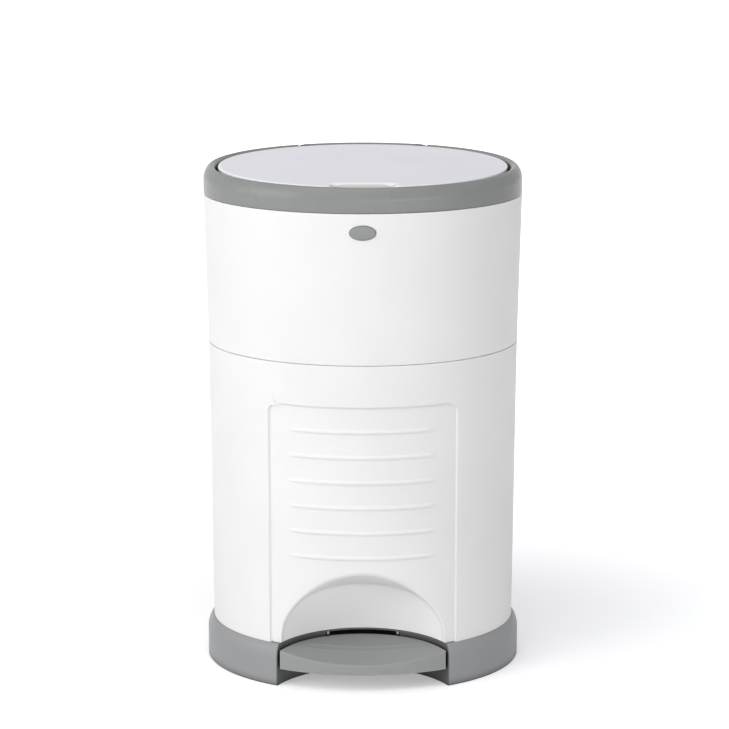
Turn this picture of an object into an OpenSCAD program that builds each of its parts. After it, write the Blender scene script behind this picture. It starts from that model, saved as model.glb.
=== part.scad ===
// Hands-free nappy bin: a foot pedal lifts the lid and drops two trap doors,
// the front door gives access to the full liner, and the grey collar tips back
// for a new refill. Frame: origin at the bottom centre, X to the right, front at -Y.

/* [Outer form] */
// Width of the base at the floor
base_w = 313; // [306:1:330]
// Width of the lower housing where it stands on the base
foot_w = 300.6; // [292:0.2:303]
// Width at the seam between the two housings
seam_w = 305; // [300:0.5:307]
// Width of the collar and of the upper housing's top edge
collar_w = 311; // [308:0.5:314]
// Depth of every oval for each unit of its width
oval_ratio = 0.8; // [0.79:0.005:0.83]
// Height of the base
base_h = 42; // [42:0.5:46]
// Height of the seam between the two housings
seam_z = 325.6; // [322:0.2:335]
// Height of the upper housing's top edge
housing_top_z = 472; // [466:1:480]
// Height of the collar from its parting line to its crest
collar_h = 26.7; // [26:0.1:29]
// Rise of the collar's crest and of the lid for each mm towards the back
top_slope = 0.025; // [0:0.005:0.03]

/* [Walls] */
// Wall of the two housings
wall = 3; // [2.5:0.1:3.5]
// Wall of the base
base_wall = 3; // [2.5:0.1:3.5]
// Thickness of the lower housing's floor
floor_t = 2.5; // [2:0.1:3]
// Thickness of the lid's skin
lid_skin = 3; // [2.5:0.1:3.2]
// Gap between the moving covers and the pieces round them
cover_gap = 0.4; // [0.3:0.05:0.5]
// Radial play of a bore on its pin
pin_play = 0.2; // [0.15:0.01:0.3]

/* [Front door] */
// Width of the recessed panel
panel_w = 182; // [176:1:186]
// Height of the recessed panel's top edge above the floor
panel_top_z = 285.3; // [280:0.5:292]
// Corner radius of the recessed panel
panel_corner_r = 10; // [8:0.5:14]
// Depth of the recess round the door
panel_depth = 1.7; // [1.2:0.1:2]
// Width of the step round the door
step_w = 2; // [1.5:0.1:2.5]
// Thickness of the door
door_t = 3; // [2.5:0.1:3.5]
// Number of ribs
rib_count = 6; // [4:1:7]
// Height of the lowest rib
rib_z = 134.4; // [130:0.5:138]
// Distance from one rib to the next
rib_pitch = 25.2; // [20:0.1:26]
// Length of a rib
rib_l = 140; // [110:1:150]
// Height of a rib's face
rib_h = 4.6; // [3:0.1:7]
// How far a rib stands out from the panel
rib_proud = 1.4; // [0.8:0.1:1.6]
// Distance of the hinge line from the panel's side edge
hinge_inset = 9.7; // [9:0.1:11]
// Distance of the hinge line behind the housing's front
hinge_depth = 6.4; // [6:0.1:7]
// Radius of the door's rounded hinge edge
hinge_edge_r = 7.3; // [6.8:0.1:7.8]
// Diameter of the door's hinge pins
door_pin_d = 4; // [3:0.5:5]
// Width of the liner cutter
cutter_w = 56; // [44:1:64]
// Height of the liner cutter
cutter_h = 22; // [16:1:26]
// How far the liner cutter stands out behind the door
cutter_t = 17.9; // [15:0.1:19]
// Height of the liner cutter's slot
cutter_slot_h = 6; // [4:0.5:8]
// Depth of the liner cutter's slot
cutter_slot_t = 6; // [4:0.5:7]
// Length of the cutter's blade
blade_l = 9.5; // [8:0.1:10]

/* [Toe recess] */
// Radius of the toe recess in plan
recess_r = 94; // [90:0.5:96]
// Distance of the recess's centre in front of the middle
recess_y = 148.6; // [146:0.2:154]
// Width of the arch at the base
arch_w = 162; // [150:1:166]
// Height of the arch above the base
arch_h = 75.7; // [66:0.5:80]
// Height of the roof above the base at the recess's back wall
roof_back_h = 45.7; // [40:0.5:60]
// Wall of the recess
recess_wall = 2.5; // [2:0.1:3]

/* [Pedal] */
// Gap between the pedal and the base's cut-out
pedal_gap = 2.5; // [1.5:0.1:3]
// Height of the pedal's underside
pedal_z = 17.5; // [17:0.1:19]
// Height of the tread at the bottom of its dish, at the front edge
dish_z = 27.8; // [27:0.1:29]
// Rise of the tread towards the back, in degrees
tread_slope = 8; // [6:0.5:9]
// Radius of the dish across the pedal
dish_r = 540; // [480:5:640]
// Width of the pedal's arm
arm_w = 68; // [50:1:70]
// Distance of the pedal's pivot in front of the middle
pivot_y = 20; // [14:0.5:24]
// Height of the pedal's pivot
pivot_z = 20; // [19:0.1:21]
// Diameter of the pedal's pin
pedal_pin_d = 6; // [5:0.5:7]

/* [Lift rod] */
// Distance of the lift rod behind the middle
rod_y = 92.5; // [92:0.1:93]
// Width of the lift rod
rod_w = 10; // [7:0.5:12]
// Thickness of the lift rod
rod_t = 6; // [4:0.5:6.5]
// Play of the lift rod in its guides
rod_play = 0.5; // [0.4:0.1:0.8]

/* [Collar and lid] */
// Distance of the collar's hinge behind the middle
collar_hinge_y = 118; // [117.6:0.1:118.4]
// Depth of the collar's hinge below the housing's top edge
collar_hinge_drop = 2; // [1.8:0.1:2.4]
// Radius of the collar's hinge barrels
collar_barrel_r = 6; // [5.4:0.1:6.2]
// Diameter of the collar's hinge pins
collar_pin_d = 4; // [3:0.5:5]
// Width of the lid
lid_w = 282; // [279:0.5:284]
// Depth of the lid's top below the collar's crest
lid_drop = 0.3; // [0:0.1:3]
// Width of the gap between the lid and the collar, counted along the width
lid_gap = 3; // [2:0.1:4]
// Distance of the lid's hinge behind the middle
lid_hinge_y = 106; // [105.6:0.1:106.4]
// Depth of the lid's hinge line below the lid's top
lid_hinge_drop = 2.65; // [2.4:0.05:2.8]
// Diameter of the lid's pins
lid_pin_d = 2.4; // [2:0.1:2.6]
// Distance of the lid pins' inner ends from the middle
lid_pin_in = 39; // [38.5:0.5:40]
// Distance of the lid pins' outer ends from the middle
lid_pin_out = 71; // [68:0.5:74]
// Width of the finger notch in the lid
notch_w = 68; // [50:1:80]
// Depth of the finger notch in the lid
notch_d = 9; // [6:0.5:11]

/* [Throat and refill] */
// Radius of the throat under the lid
throat_r = 64; // [58:0.5:65]
// Distance of the throat's centre in front of the middle
throat_y = 14; // [13:0.5:15]
// Radius of a trap door
trap_r = 67; // [66:0.5:68]
// Thickness of a trap door
trap_t = 2.5; // [2:0.1:3]
// Diameter of the trap doors' pins
trap_pin_d = 3; // [2.4:0.1:3.4]
// Length of the trap doors' pins
trap_pin_l = 44; // [42:0.5:46]
// Outer radius of the refill cassette
cassette_r = 96; // [94:0.5:97]
// Radius of the refill cassette's bore
cassette_bore_r = 84; // [83:0.5:86]
// Height of the refill cassette
cassette_h = 52; // [44:1:54]
// Height of the refill holder's top face
holder_z = 385; // [380:0.5:388]

/* [Button] */
// Width of the release button
button_w = 24.5; // [20:0.5:27]
// Height of the release button's face
button_h = 13.5; // [11:0.5:15]
// Height of the release button's centre above the floor
button_z = 454; // [450:0.5:456]
// How far the button stands out of the housing
button_proud = 1.2; // [0.8:0.1:2]

/* [Hidden] */

$fn = 64;
sides = 72;
far = 220;
eps = 0.02;

base_a = base_w / 2;
foot_a = foot_w / 2;
seam_a = seam_w / 2;
collar_a = collar_w / 2;
lid_a = lid_w / 2;
collar_z = housing_top_z + cover_gap;
crest_z = collar_z + collar_h;
deck_t = 3;
deck_z = collar_z + deck_t;
lid_z = crest_z - lid_drop;
lid_back_z = lid_z + top_slope * lid_hinge_y;
lid_hinge_z = lid_back_z - lid_hinge_drop;
collar_hinge_z = housing_top_z - collar_hinge_drop;
hinge_x = -(panel_w / 2 - hinge_inset);
hinge_a = min(foot_a, body_a(panel_top_z));
hinge_y = -oval_ratio * sqrt(hinge_a * hinge_a - hinge_x * hinge_x) + hinge_depth;
door_inset = panel_depth + door_t;
cutter_z = panel_top_z - 29;
cutter_back_y = wall_y(0, cutter_z, door_inset) + cutter_t;
door_z = base_h + cover_gap;
arm_end_z = 12;
rod_bottom_z = arm_end_z + 0.8;
lug_z = lid_hinge_z - 4.2;
lug_r = 3;
rod_top_z = lug_z - lug_r - 0.3;
funnel_a = lid_a - 11;
funnel_b = 90;
funnel_y = -throat_y + 2;
funnel_z = lid_z - 10.2;
trap_hinge_x = trap_r + 3;
trap_top_z = collar_z - 0.5;
trap_hinge_z = trap_top_z - 4.4;
trap_barrel_r = 3.2;
screw_x = 112;
screw_y = 50;
screw_d = 4;

// Half width of the housings' outer face at a height
function body_a(z) = z < seam_z
  ? foot_a + (seam_a - foot_a) * (z - base_h) / (seam_z - base_h)
  : seam_a + (collar_a - seam_a) * (z - seam_z) / (housing_top_z - seam_z);

// Y of the housings' front face, pulled in by inset, at x and z
function wall_y(x, z, inset) =
  -(body_a(z) * oval_ratio - inset) * sqrt(1 - pow(x / (body_a(z) - inset), 2));

// Points of an oval of half width a and half depth b round y, tilted by slope
function oval_ring(a, b, y, z, slope = 0) = [for (i = [0 : sides - 1])
  let (t = 360 * i / sides, py = y + b * sin(t)) [a * cos(t), py, z + slope * py]];

// Solid through a list of rings, each [half width, half depth, y, z, slope]
module loft(rings) {
  n = len(rings);
  points = [for (r = rings) each oval_ring(r[0], r[1], r[2], r[3], r[4])];
  walls = [for (j = [0 : n - 2], i = [0 : sides - 1])
    let (p = j * sides + i, q = j * sides + (i + 1) % sides)
    each [[p, p + sides, q + sides], [p, q + sides, q]]];
  bottom = [for (i = [0 : sides - 1]) i];
  top = [for (i = [sides - 1 : -1 : 0]) (n - 1) * sides + i];
  polyhedron(points, concat([bottom], walls, [top]));
}

// Rings of the common oval, from a list of [half width, z, slope]
module oval_loft(steps) loft([for (s = steps) [s[0], s[0] * oval_ratio, 0, s[1], s[2]]]);

// Straight oval prism between two heights
module oval_prism(a, b, y, z0, z1) {
  translate([0, 0, z0]) linear_extrude(z1 - z0)
    polygon([for (p = oval_ring(a, b, y, 0)) [p[0], p[1]]]);
}

// Solid inside the housings' outer face, pulled in by inset, between two heights
module body_solid(z0, z1, inset = 0) {
  loft([for (z = z0 < seam_z && z1 > seam_z ? [z0, seam_z, z1] : [z0, z1])
    [body_a(z) - inset, body_a(z) * oval_ratio - inset, 0, z, 0]]);
}

// Upright prism along Y with rounded top corners
module window(w, z0, z1, r) {
  rotate([90, 0, 0]) linear_extrude(far) {
    translate([-w / 2, z0]) square([w, z1 - r - z0]);
    translate([-w / 2 + r, z0]) square([w - 2 * r, z1 - z0]);
    for (s = [-1, 1]) translate([s * (w / 2 - r), z1 - r]) circle(r);
  }
}

// Space of the door in the housing's wall, grown by gap
module door_space(gap, z0) {
  intersection() {
    window(panel_w - 2 * step_w + 2 * gap, z0, panel_top_z - step_w + gap,
      panel_corner_r - step_w + gap);
    union() {
      translate([hinge_x, -far, z0 - 1]) cube([far, far + hinge_y + 4, panel_top_z]);
      translate([hinge_x, hinge_y, z0 - 1]) cylinder(r = hinge_edge_r + gap, h = panel_top_z);
    }
  }
}

// Half oval of the arch, grown by grow, as a thin slice at y
module arch_slice(y, h, grow) {
  translate([0, y, base_h]) rotate([90, 0, 0]) linear_extrude(0.1)
    polygon(concat([[-arch_w / 2 - grow, -4]],
      [for (t = [180 : -10 : 0]) [(arch_w / 2 + grow) * cos(t), (h + grow) * sin(t)]],
      [[arch_w / 2 + grow, -4]]));
}

// Inside of the toe recess, grown by grow
module recess_space(grow = 0) {
  back_y = recess_r - recess_y;
  intersection() {
    hull() {
      arch_slice(-far, arch_h, grow);
      arch_slice(-foot_a * oval_ratio, arch_h, grow);
      arch_slice(back_y + 5, roof_back_h - 2, grow);
    }
    translate([0, -recess_y, base_h - 5]) cylinder(r = recess_r + grow, h = far, $fn = 128);
  }
}

// Round wire wound along Z from the origin
module coil(r, wire, turns, h) {
  steps = 14;
  ring = 6;
  n = turns * steps;
  points = [for (i = [0 : n], k = [0 : ring - 1])
    let (t = 360 * i / steps, s = 360 * k / ring, rr = r + wire / 2 * cos(s))
    [rr * cos(t), rr * sin(t), wire / 2 + (h - wire) * i / n + wire / 2 * sin(s)]];
  walls = [for (i = [0 : n - 1], k = [0 : ring - 1])
    let (p = i * ring + k, q = i * ring + (k + 1) % ring)
    each [[p, q, q + ring], [p, q + ring, p + ring]]];
  first = [for (k = [ring - 1 : -1 : 0]) k];
  last = [for (k = [0 : ring - 1]) n * ring + k];
  polyhedron(points, concat([first], walls, [last]));
}

// Rod along X between two places
module x_rod(x0, x1, y, z, d) translate([x0, y, z]) rotate([0, 90, 0]) cylinder(d = d, h = x1 - x0);

// Slot of the lift rod through a plate
module rod_slot(z0, z1) {
  translate([-rod_w / 2 - rod_play, rod_y - rod_t / 2 - rod_play, z0])
    cube([rod_w + 2 * rod_play, rod_t + 2 * rod_play, z1 - z0]);
}

// ---------------------------------------------------------------- base
module base() {
  rim_h = 3;
  rim_w = 12;
  plate_z = base_h - 3;
  arm_slot_z = pedal_z - 6;
  arm_slot_top = base_h - 1.5;
  arm_slot_l = 20;
  shoulder_z = base_h - 13;
  ear_w = 5;
  color([0.62, 0.63, 0.63]) difference() {
    union() {
      difference() {
        oval_loft([[base_a, 0, 0], [base_a, shoulder_z, 0], [base_a - 0.7, shoulder_z + 5, 0],
          [base_a - 2.4, shoulder_z + 9, 0], [base_a - 4.6, shoulder_z + 11.7, 0],
          [foot_a, base_h, 0]]);
        oval_loft([[base_a - base_wall, rim_h, 0], [base_a - base_wall, shoulder_z - 2, 0],
          [foot_a - base_wall / 2, plate_z, 0]]);
        oval_prism(base_a - rim_w, (base_a - rim_w) * oval_ratio, 0, -1, rim_h + eps);
      }
      intersection() {
        translate([0, -recess_y, 0]) cylinder(r = recess_r + base_wall, h = base_h, $fn = 128);
        oval_prism(base_a - 1, (base_a - 1) * oval_ratio, 0, 0, plate_z + 1);
      }
      for (s = [-1, 1])
        translate([s * (arm_w / 2 + 2 + ear_w / 2) - ear_w / 2, -pivot_y - 8, pivot_z - 8])
          cube([ear_w, 16, plate_z - pivot_z + 9]);
    }
    translate([0, -recess_y, -1]) cylinder(r = recess_r, h = base_h + 2, $fn = 128);
    translate([-arm_w / 2 - pedal_gap, recess_r - recess_y - 0.6 * arm_slot_l, arm_slot_z])
      cube([arm_w + 2 * pedal_gap, arm_slot_l, arm_slot_top - arm_slot_z]);
    x_rod(-arm_w / 2 - 9, arm_w / 2 + 9, -pivot_y, pivot_z, pedal_pin_d);
    rod_slot(plate_z - 1, base_h + 1);
    translate([hinge_x, hinge_y, base_h - 6]) cylinder(d = door_pin_d, h = 7);
    for (sx = [-1, 1], sy = [-1, 1]) translate([sx * screw_x, sy * screw_y, plate_z - 1])
      cylinder(d = screw_d, h = 5);
  }
}

// ---------------------------------------------------------------- lower housing
module lower_housing() {
  tongue_in = wall + 0.3;
  boss_top = base_h + 12;
  pin_boss_r = 5;
  color([0.95, 0.95, 0.96]) difference() {
    union() {
      difference() {
        body_solid(base_h, seam_z);
        body_solid(base_h + floor_t, seam_z + 1, wall);
      }
      difference() {
        union() {
          body_solid(seam_z - 10, seam_z - 3, wall - 1);
          body_solid(seam_z - 3.5, seam_z + 6, tongue_in);
        }
        body_solid(seam_z - 11, seam_z + 7, wall + 2);
      }
      intersection() {
        translate([hinge_x, hinge_y, panel_top_z - step_w + cover_gap + 0.5]) {
          cylinder(r = pin_boss_r, h = 10);
          translate([-pin_boss_r, -far, 0]) cube([2 * pin_boss_r, far, 10]);
        }
        body_solid(panel_top_z - step_w, seam_z, wall / 2);
      }
      for (sx = [-1, 1], sy = [-1, 1]) translate([sx * screw_x, sy * screw_y, base_h + 1])
        cylinder(r = 5, h = boss_top - base_h - 1);
    }
    door_space(cover_gap, base_h - 1);
    translate([hinge_x, hinge_y, base_h - 1])
      cylinder(r = hinge_edge_r + cover_gap, h = panel_top_z - step_w + cover_gap - base_h + 1);
    difference() {
      union() {
        window(panel_w, base_h - 1, panel_top_z, panel_corner_r);
        translate([hinge_x, hinge_y, base_h - 1])
          cylinder(r = hinge_inset - 0.3, h = panel_top_z - base_h + 1);
      }
      body_solid(base_h - 2, seam_z, panel_depth);
    }
    translate([0, -recess_y, base_h - 1])
      cylinder(r = recess_r + recess_wall + 0.8, h = floor_t + 2, $fn = 128);
    rod_slot(base_h - 1, base_h + floor_t + 1);
    translate([hinge_x, hinge_y, panel_top_z - 8]) cylinder(d = door_pin_d, h = 20);
    for (sx = [-1, 1], sy = [-1, 1]) translate([sx * screw_x, sy * screw_y, base_h - 1])
      cylinder(d = screw_d, h = boss_top - base_h);
  }
}

// ---------------------------------------------------------------- upper housing
module upper_housing() {
  groove_h = 0.9;
  groove_d = 1.4;
  notch_x = 52;
  ledge_t = 5;
  ledge_w = 5;
  barrel_x = [20, 35.6];
  color([0.95, 0.95, 0.96]) difference() {
    union() {
      difference() {
        body_solid(seam_z, housing_top_z);
        body_solid(seam_z - 1, holder_z - 3 - ledge_t, wall);
        body_solid(holder_z - 3 - ledge_t - eps, holder_z - 3 + eps, wall + ledge_w);
        body_solid(holder_z - 3, housing_top_z + 1, wall);
        translate([-notch_x, collar_hinge_y - 8, collar_hinge_z - collar_barrel_r - 1.7])
          cube([2 * notch_x, 20, 40]);
      }
      for (s = [-1, 1]) {
        x_rod(min(s * barrel_x[0], s * barrel_x[1]), max(s * barrel_x[0], s * barrel_x[1]),
          collar_hinge_y, collar_hinge_z, 2 * collar_barrel_r);
        translate([min(s * barrel_x[0], s * barrel_x[1]), 0, 0]) {
          translate([0, collar_hinge_y - collar_barrel_r, collar_hinge_z - 18])
            cube([barrel_x[1] - barrel_x[0], collar_barrel_r + 0.8, 18]);
          translate([0, collar_hinge_y, collar_hinge_z - 18])
            cube([barrel_x[1] - barrel_x[0], 2.2, 10]);
        }
      }
    }
    difference() {
      oval_prism(far, far, 0, seam_z - 1, seam_z + groove_h);
      body_solid(seam_z - 2, seam_z + 2, groove_d);
    }
    button_prism(0.3, -far, -100);
    x_rod(-notch_x, notch_x, collar_hinge_y, collar_hinge_z, collar_pin_d);
  }
}

// ---------------------------------------------------------------- front door
module front_door() {
  barrel_r = 3.8;
  barrel_h = 12;
  door_top = panel_top_z - step_w;
  color([0.95, 0.95, 0.96]) difference() {
    union() {
      intersection() {
        difference() {
          body_solid(door_z, panel_top_z, panel_depth);
          body_solid(door_z - 1, panel_top_z + 1, door_inset);
        }
        door_space(0, door_z);
      }
      intersection() {
        recess_space(recess_wall);
        body_solid(door_z, seam_z, panel_depth + 1);
        translate([-far, -far, door_z]) cube([2 * far, 2 * far, far]);
      }
      for (i = [0 : rib_count - 1]) rib(rib_z + i * rib_pitch);
      for (z = [door_z, door_top - barrel_h]) translate([hinge_x, hinge_y, z])
        cylinder(r = barrel_r, h = barrel_h);
      for (z = [door_z, door_top - barrel_h]) intersection() {
        translate([hinge_x - 1, -far, z]) cube([6, far + hinge_y, barrel_h]);
        body_solid(door_z, panel_top_z, panel_depth + 0.5);
      }
    }
    recess_space();
    for (z = [door_z - 1, door_top - barrel_h]) translate([hinge_x, hinge_y, z])
      cylinder(d = door_pin_d + 2 * pin_play, h = barrel_h + 1);
  }
}

module rib(z) {
  taper = 8;
  intersection() {
    difference() {
      body_solid(z - rib_h, z + rib_h, panel_depth - rib_proud);
      body_solid(z - rib_h - 1, z + rib_h + 1, panel_depth + 1);
    }
    translate([0, 0, z]) rotate([90, 0, 0]) linear_extrude(far) polygon([
      [-rib_l / 2, 0], [-rib_l / 2 + taper, rib_h / 2], [rib_l / 2 - taper, rib_h / 2],
      [rib_l / 2, 0], [rib_l / 2 - taper, -rib_h / 2], [-rib_l / 2 + taper, -rib_h / 2]]);
  }
}

module door_hinge_pins() {
  color([0.8, 0.8, 0.82]) {
    translate([hinge_x, hinge_y, base_h - 6]) cylinder(d = door_pin_d, h = 16);
    translate([hinge_x, hinge_y, panel_top_z - step_w - 10]) cylinder(d = door_pin_d, h = 19);
  }
}

// Height of the middle of the door's latch
function latch_z() = (rib_z + panel_top_z) / 2 - 45;

module door_latch() {
  latch_w = 10;
  latch_h = 20;
  latch_t = 7.9;
  latch_x = panel_w / 2 - 8;
  back_y = wall_y(latch_x, latch_z(), door_inset) + latch_t;
  color([0.6, 0.61, 0.61]) intersection() {
    translate([latch_x - latch_w / 2, -far, latch_z() - latch_h / 2])
      cube([latch_w, far + back_y, latch_h]);
    body_solid(door_z, panel_top_z, door_inset);
  }
}

module door_strike() {
  strike_w = 8;
  strike_h = 24;
  strike_t = 5.3;
  strike_x = panel_w / 2 + 3;
  back_y = wall_y(strike_x, latch_z(), wall) + strike_t;
  color([0.8, 0.8, 0.82]) intersection() {
    translate([strike_x - strike_w / 2, -far, latch_z() - strike_h / 2])
      cube([strike_w, far + back_y, strike_h]);
    body_solid(door_z, panel_top_z, wall);
  }
}

module cutter_body() {
  color([0.6, 0.61, 0.61]) difference() {
    intersection() {
      translate([-cutter_w / 2, -far, cutter_z - cutter_h / 2])
        cube([cutter_w, far + cutter_back_y, cutter_h]);
      body_solid(door_z, panel_top_z, door_inset);
    }
    translate([-cutter_w / 2 - 1, cutter_back_y - cutter_slot_t, cutter_z - cutter_slot_h / 2])
      cube([cutter_w - 15, cutter_slot_t + 1, cutter_slot_h]);
    translate([0, cutter_back_y - blade_l - 0.5, cutter_z - cutter_slot_h / 2 - eps])
      cube([14, blade_l + 1, cutter_slot_h + 2 * eps]);
  }
}

module cutter_blade() {
  blade_t = 1;
  color([0.75, 0.76, 0.78])
    translate([2, cutter_back_y - blade_l - 0.5, cutter_z - cutter_slot_h / 2])
    linear_extrude(cutter_slot_h)
    polygon([[0, 0], [blade_t, 0], [blade_t + 7, blade_l], [7, blade_l]]);
}

// ---------------------------------------------------------------- pedal
module pedal() {
  arm_end_y = rod_y;
  arm_x = arm_w / 2;
  color([0.62, 0.63, 0.63]) difference() {
    union() {
      difference() {
        translate([0, 0, pedal_z]) linear_extrude(base_h - pedal_z) intersection() {
          translate([0, -recess_y]) circle(recess_r - pedal_gap, $fn = 128);
          polygon([for (p = oval_ring(base_a - 0.4, (base_a - 0.4) * oval_ratio, 0, 0))
            [p[0], p[1]]]);
        }
        translate([0, -base_a * oval_ratio, dish_z]) rotate([tread_slope, 0, 0])
          translate([0, far, dish_r]) rotate([90, 0, 0])
          cylinder(r = dish_r, h = 2 * far, $fn = 256);
      }
      translate([-arm_x, 0, 0]) rotate([90, 0, 90]) linear_extrude(arm_w) polygon([
        [recess_r - recess_y - 8, pedal_z], [recess_r - recess_y - 8, 27],
        [-pivot_y - 10, 27], [-pivot_y + 6, 26], [arm_end_y, arm_end_z], [arm_end_y + 4, arm_end_z - 3],
        [arm_end_y + 4, 5], [arm_end_y, 2.5], [-pivot_y, 13]]);
    }
    x_rod(-far, far, -pivot_y, pivot_z, pedal_pin_d + 2 * pin_play);
    translate([-arm_x + 8, -pivot_y + 14, -1]) cube([arm_w / 2 - 16, 60, 40]);
    translate([8, -pivot_y + 14, -1]) cube([arm_w / 2 - 16, 60, 40]);
  }
}

module pedal_pin() {
  color([0.8, 0.8, 0.82]) x_rod(-arm_w / 2 - 7, arm_w / 2 + 7, -pivot_y, pivot_z, pedal_pin_d);
}

module pedal_spring() {
  spring_y = 45;
  seat_z = 18.9;
  color([0.7, 0.7, 0.72]) translate([0, spring_y, seat_z])
    coil(6.5, 1.6, 5, base_h - 3 - seat_z);
}

module lift_rod() {
  color([0.85, 0.85, 0.86]) translate([-rod_w / 2, rod_y - rod_t / 2, rod_bottom_z])
    cube([rod_w, rod_t, rod_top_z - rod_bottom_z]);
}

module rod_channel() {
  side = 2;
  z0 = base_h + floor_t;
  z1 = holder_z - 3 - 12;
  x = rod_w / 2 + 1 + side;
  front = rod_y - rod_t / 2 - 1 - side;
  color([0.93, 0.93, 0.94]) intersection() {
    difference() {
      translate([-x, front, z0]) cube([2 * x, 40, z1 - z0]);
      translate([-x + side, front + side, z0 - 1]) cube([2 * (x - side), 40, z1 - z0 + 2]);
    }
    body_solid(z0, z1, wall + 2.2);
  }
}

module base_screws() {
  head_r = 4;
  plate_z = base_h - 3;
  color([0.7, 0.7, 0.72]) for (sx = [-1, 1], sy = [-1, 1])
    translate([sx * screw_x, sy * screw_y, 0]) {
      translate([0, 0, plate_z - 3]) cylinder(r = head_r, h = 3);
      translate([0, 0, plate_z - eps]) cylinder(d = screw_d, h = 12);
    }
}

// ---------------------------------------------------------------- collar
module collar() {
  in_a = lid_a + lid_gap;
  side_z = collar_z + 14.6;
  ear_x = 3;
  barrel_x = [36, 50];
  rod_corner_y = collar_hinge_y - rod_y + rod_t / 2;
  slot_front = collar_hinge_y - 0.3 - sqrt(pow(rod_corner_y, 2) + pow(rod_top_z - collar_hinge_z, 2));
  color([0.58, 0.6, 0.59]) difference() {
    union() {
      difference() {
        oval_loft([[collar_a, collar_z, 0], [collar_a, side_z, top_slope],
          [collar_a - 0.7, crest_z - 7.8, top_slope], [collar_a - 2.7, crest_z - 3.9, top_slope],
          [collar_a - 7.6, crest_z, top_slope]]);
        oval_loft([[collar_a - 4, deck_z, 0], [collar_a - 4, side_z - 1, top_slope],
          [in_a + 2, crest_z - 9, top_slope], [in_a, crest_z - 7, top_slope],
          [in_a, crest_z - 1.8, top_slope], [in_a + 4.4, crest_z + 0.6, top_slope]]);
      }
      for (s = [-1, 1]) {
        x_rod(min(s * barrel_x[0], s * barrel_x[1]), max(s * barrel_x[0], s * barrel_x[1]),
          collar_hinge_y, collar_hinge_z, 2 * collar_barrel_r);
        for (t = [-1, 1])
          translate([s * trap_hinge_x - ear_x, -throat_y + t * 15 - 2, trap_hinge_z - ear_x])
            cube([2 * ear_x, 4, collar_z - trap_hinge_z + ear_x + 1]);
      }
      translate([-6, button_wall_y() + wall + 0.4, collar_z - 9]) cube([12, 2.1, 10]);
    }
    translate([0, -throat_y, collar_z - 1]) cylinder(r = throat_r, h = 6, $fn = 96);
    for (s = [-1, 1]) {
      x_rod(min(s * 19.6, s * 36), max(s * 19.6, s * 36), collar_hinge_y, collar_hinge_z,
        2 * (collar_barrel_r + cover_gap));
      translate([s * trap_hinge_x, 0, trap_hinge_z]) rotate([90, 0, 0])
        cylinder(d = trap_pin_d, h = far, center = true);
      translate([s > 0 ? 49 : -65, lid_hinge_y - 4.6, crest_z - 7]) cube([16, 8.2, 20]);
    }
    x_rod(-52, 52, collar_hinge_y, collar_hinge_z, collar_pin_d + 2 * pin_play);
    x_rod(-lid_pin_out, lid_pin_out, lid_hinge_y, lid_hinge_z, lid_pin_d);
    translate([-rod_w / 2 - 2, slot_front, collar_z - 1])
      cube([rod_w + 4, rod_y + rod_t / 2 + 1.5 - slot_front, 6]);
  }
}

module collar_hinge_pins() {
  color([0.8, 0.8, 0.82]) {
    x_rod(-50, -20, collar_hinge_y, collar_hinge_z, collar_pin_d);
    x_rod(20, 50, collar_hinge_y, collar_hinge_z, collar_pin_d);
  }
}

module throat_funnel() {
  t = 2.5;
  color([0.93, 0.93, 0.94]) difference() {
    loft([[throat_r + 2, throat_r + 2, -throat_y, deck_z, 0],
      [funnel_a, funnel_b, funnel_y, funnel_z, top_slope]]);
    loft([[throat_r - 1.4, throat_r - 1.4, -throat_y, deck_z - 0.3, 0],
      [funnel_a - t + 1.4, funnel_b - t + 1, funnel_y, funnel_z + 0.3, top_slope]]);
  }
}

// Trap door hinged on the left, for s = -1, or on the right, for s = 1
module trap_door(s) {
  split = 0.3;
  color([0.93, 0.93, 0.94]) difference() {
    union() {
      intersection() {
        translate([0, -throat_y, trap_top_z - trap_t]) cylinder(r = trap_r, h = trap_t, $fn = 96);
        translate([s > 0 ? split : -far - split, -far, 0]) cube([far, 2 * far, far * 3]);
      }
      translate([s > 0 ? trap_r - 7 : -trap_hinge_x, -throat_y - 12.5, trap_hinge_z])
        cube([trap_hinge_x - trap_r + 7, 25, trap_top_z - trap_hinge_z]);
      translate([s * trap_hinge_x, -throat_y, trap_hinge_z]) rotate([90, 0, 0])
        cylinder(r = trap_barrel_r, h = 25, center = true);
    }
    translate([s * trap_hinge_x, -throat_y, trap_hinge_z]) rotate([90, 0, 0])
      cylinder(d = trap_pin_d + 2 * pin_play, h = 40, center = true);
  }
}

module trap_pins() {
  color([0.8, 0.8, 0.82]) for (s = [-1, 1])
    translate([s * trap_hinge_x, -throat_y - 18, trap_hinge_z]) rotate([-90, 0, 0])
      cylinder(d = trap_pin_d, h = trap_pin_l);
}

module trap_springs() {
  color([0.7, 0.7, 0.72]) for (s = [-1, 1])
    translate([s * trap_hinge_x, -throat_y + 17.3, trap_hinge_z]) rotate([-90, 0, 0])
      coil(2.3, 0.9, 6, 7.5);
}

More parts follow.
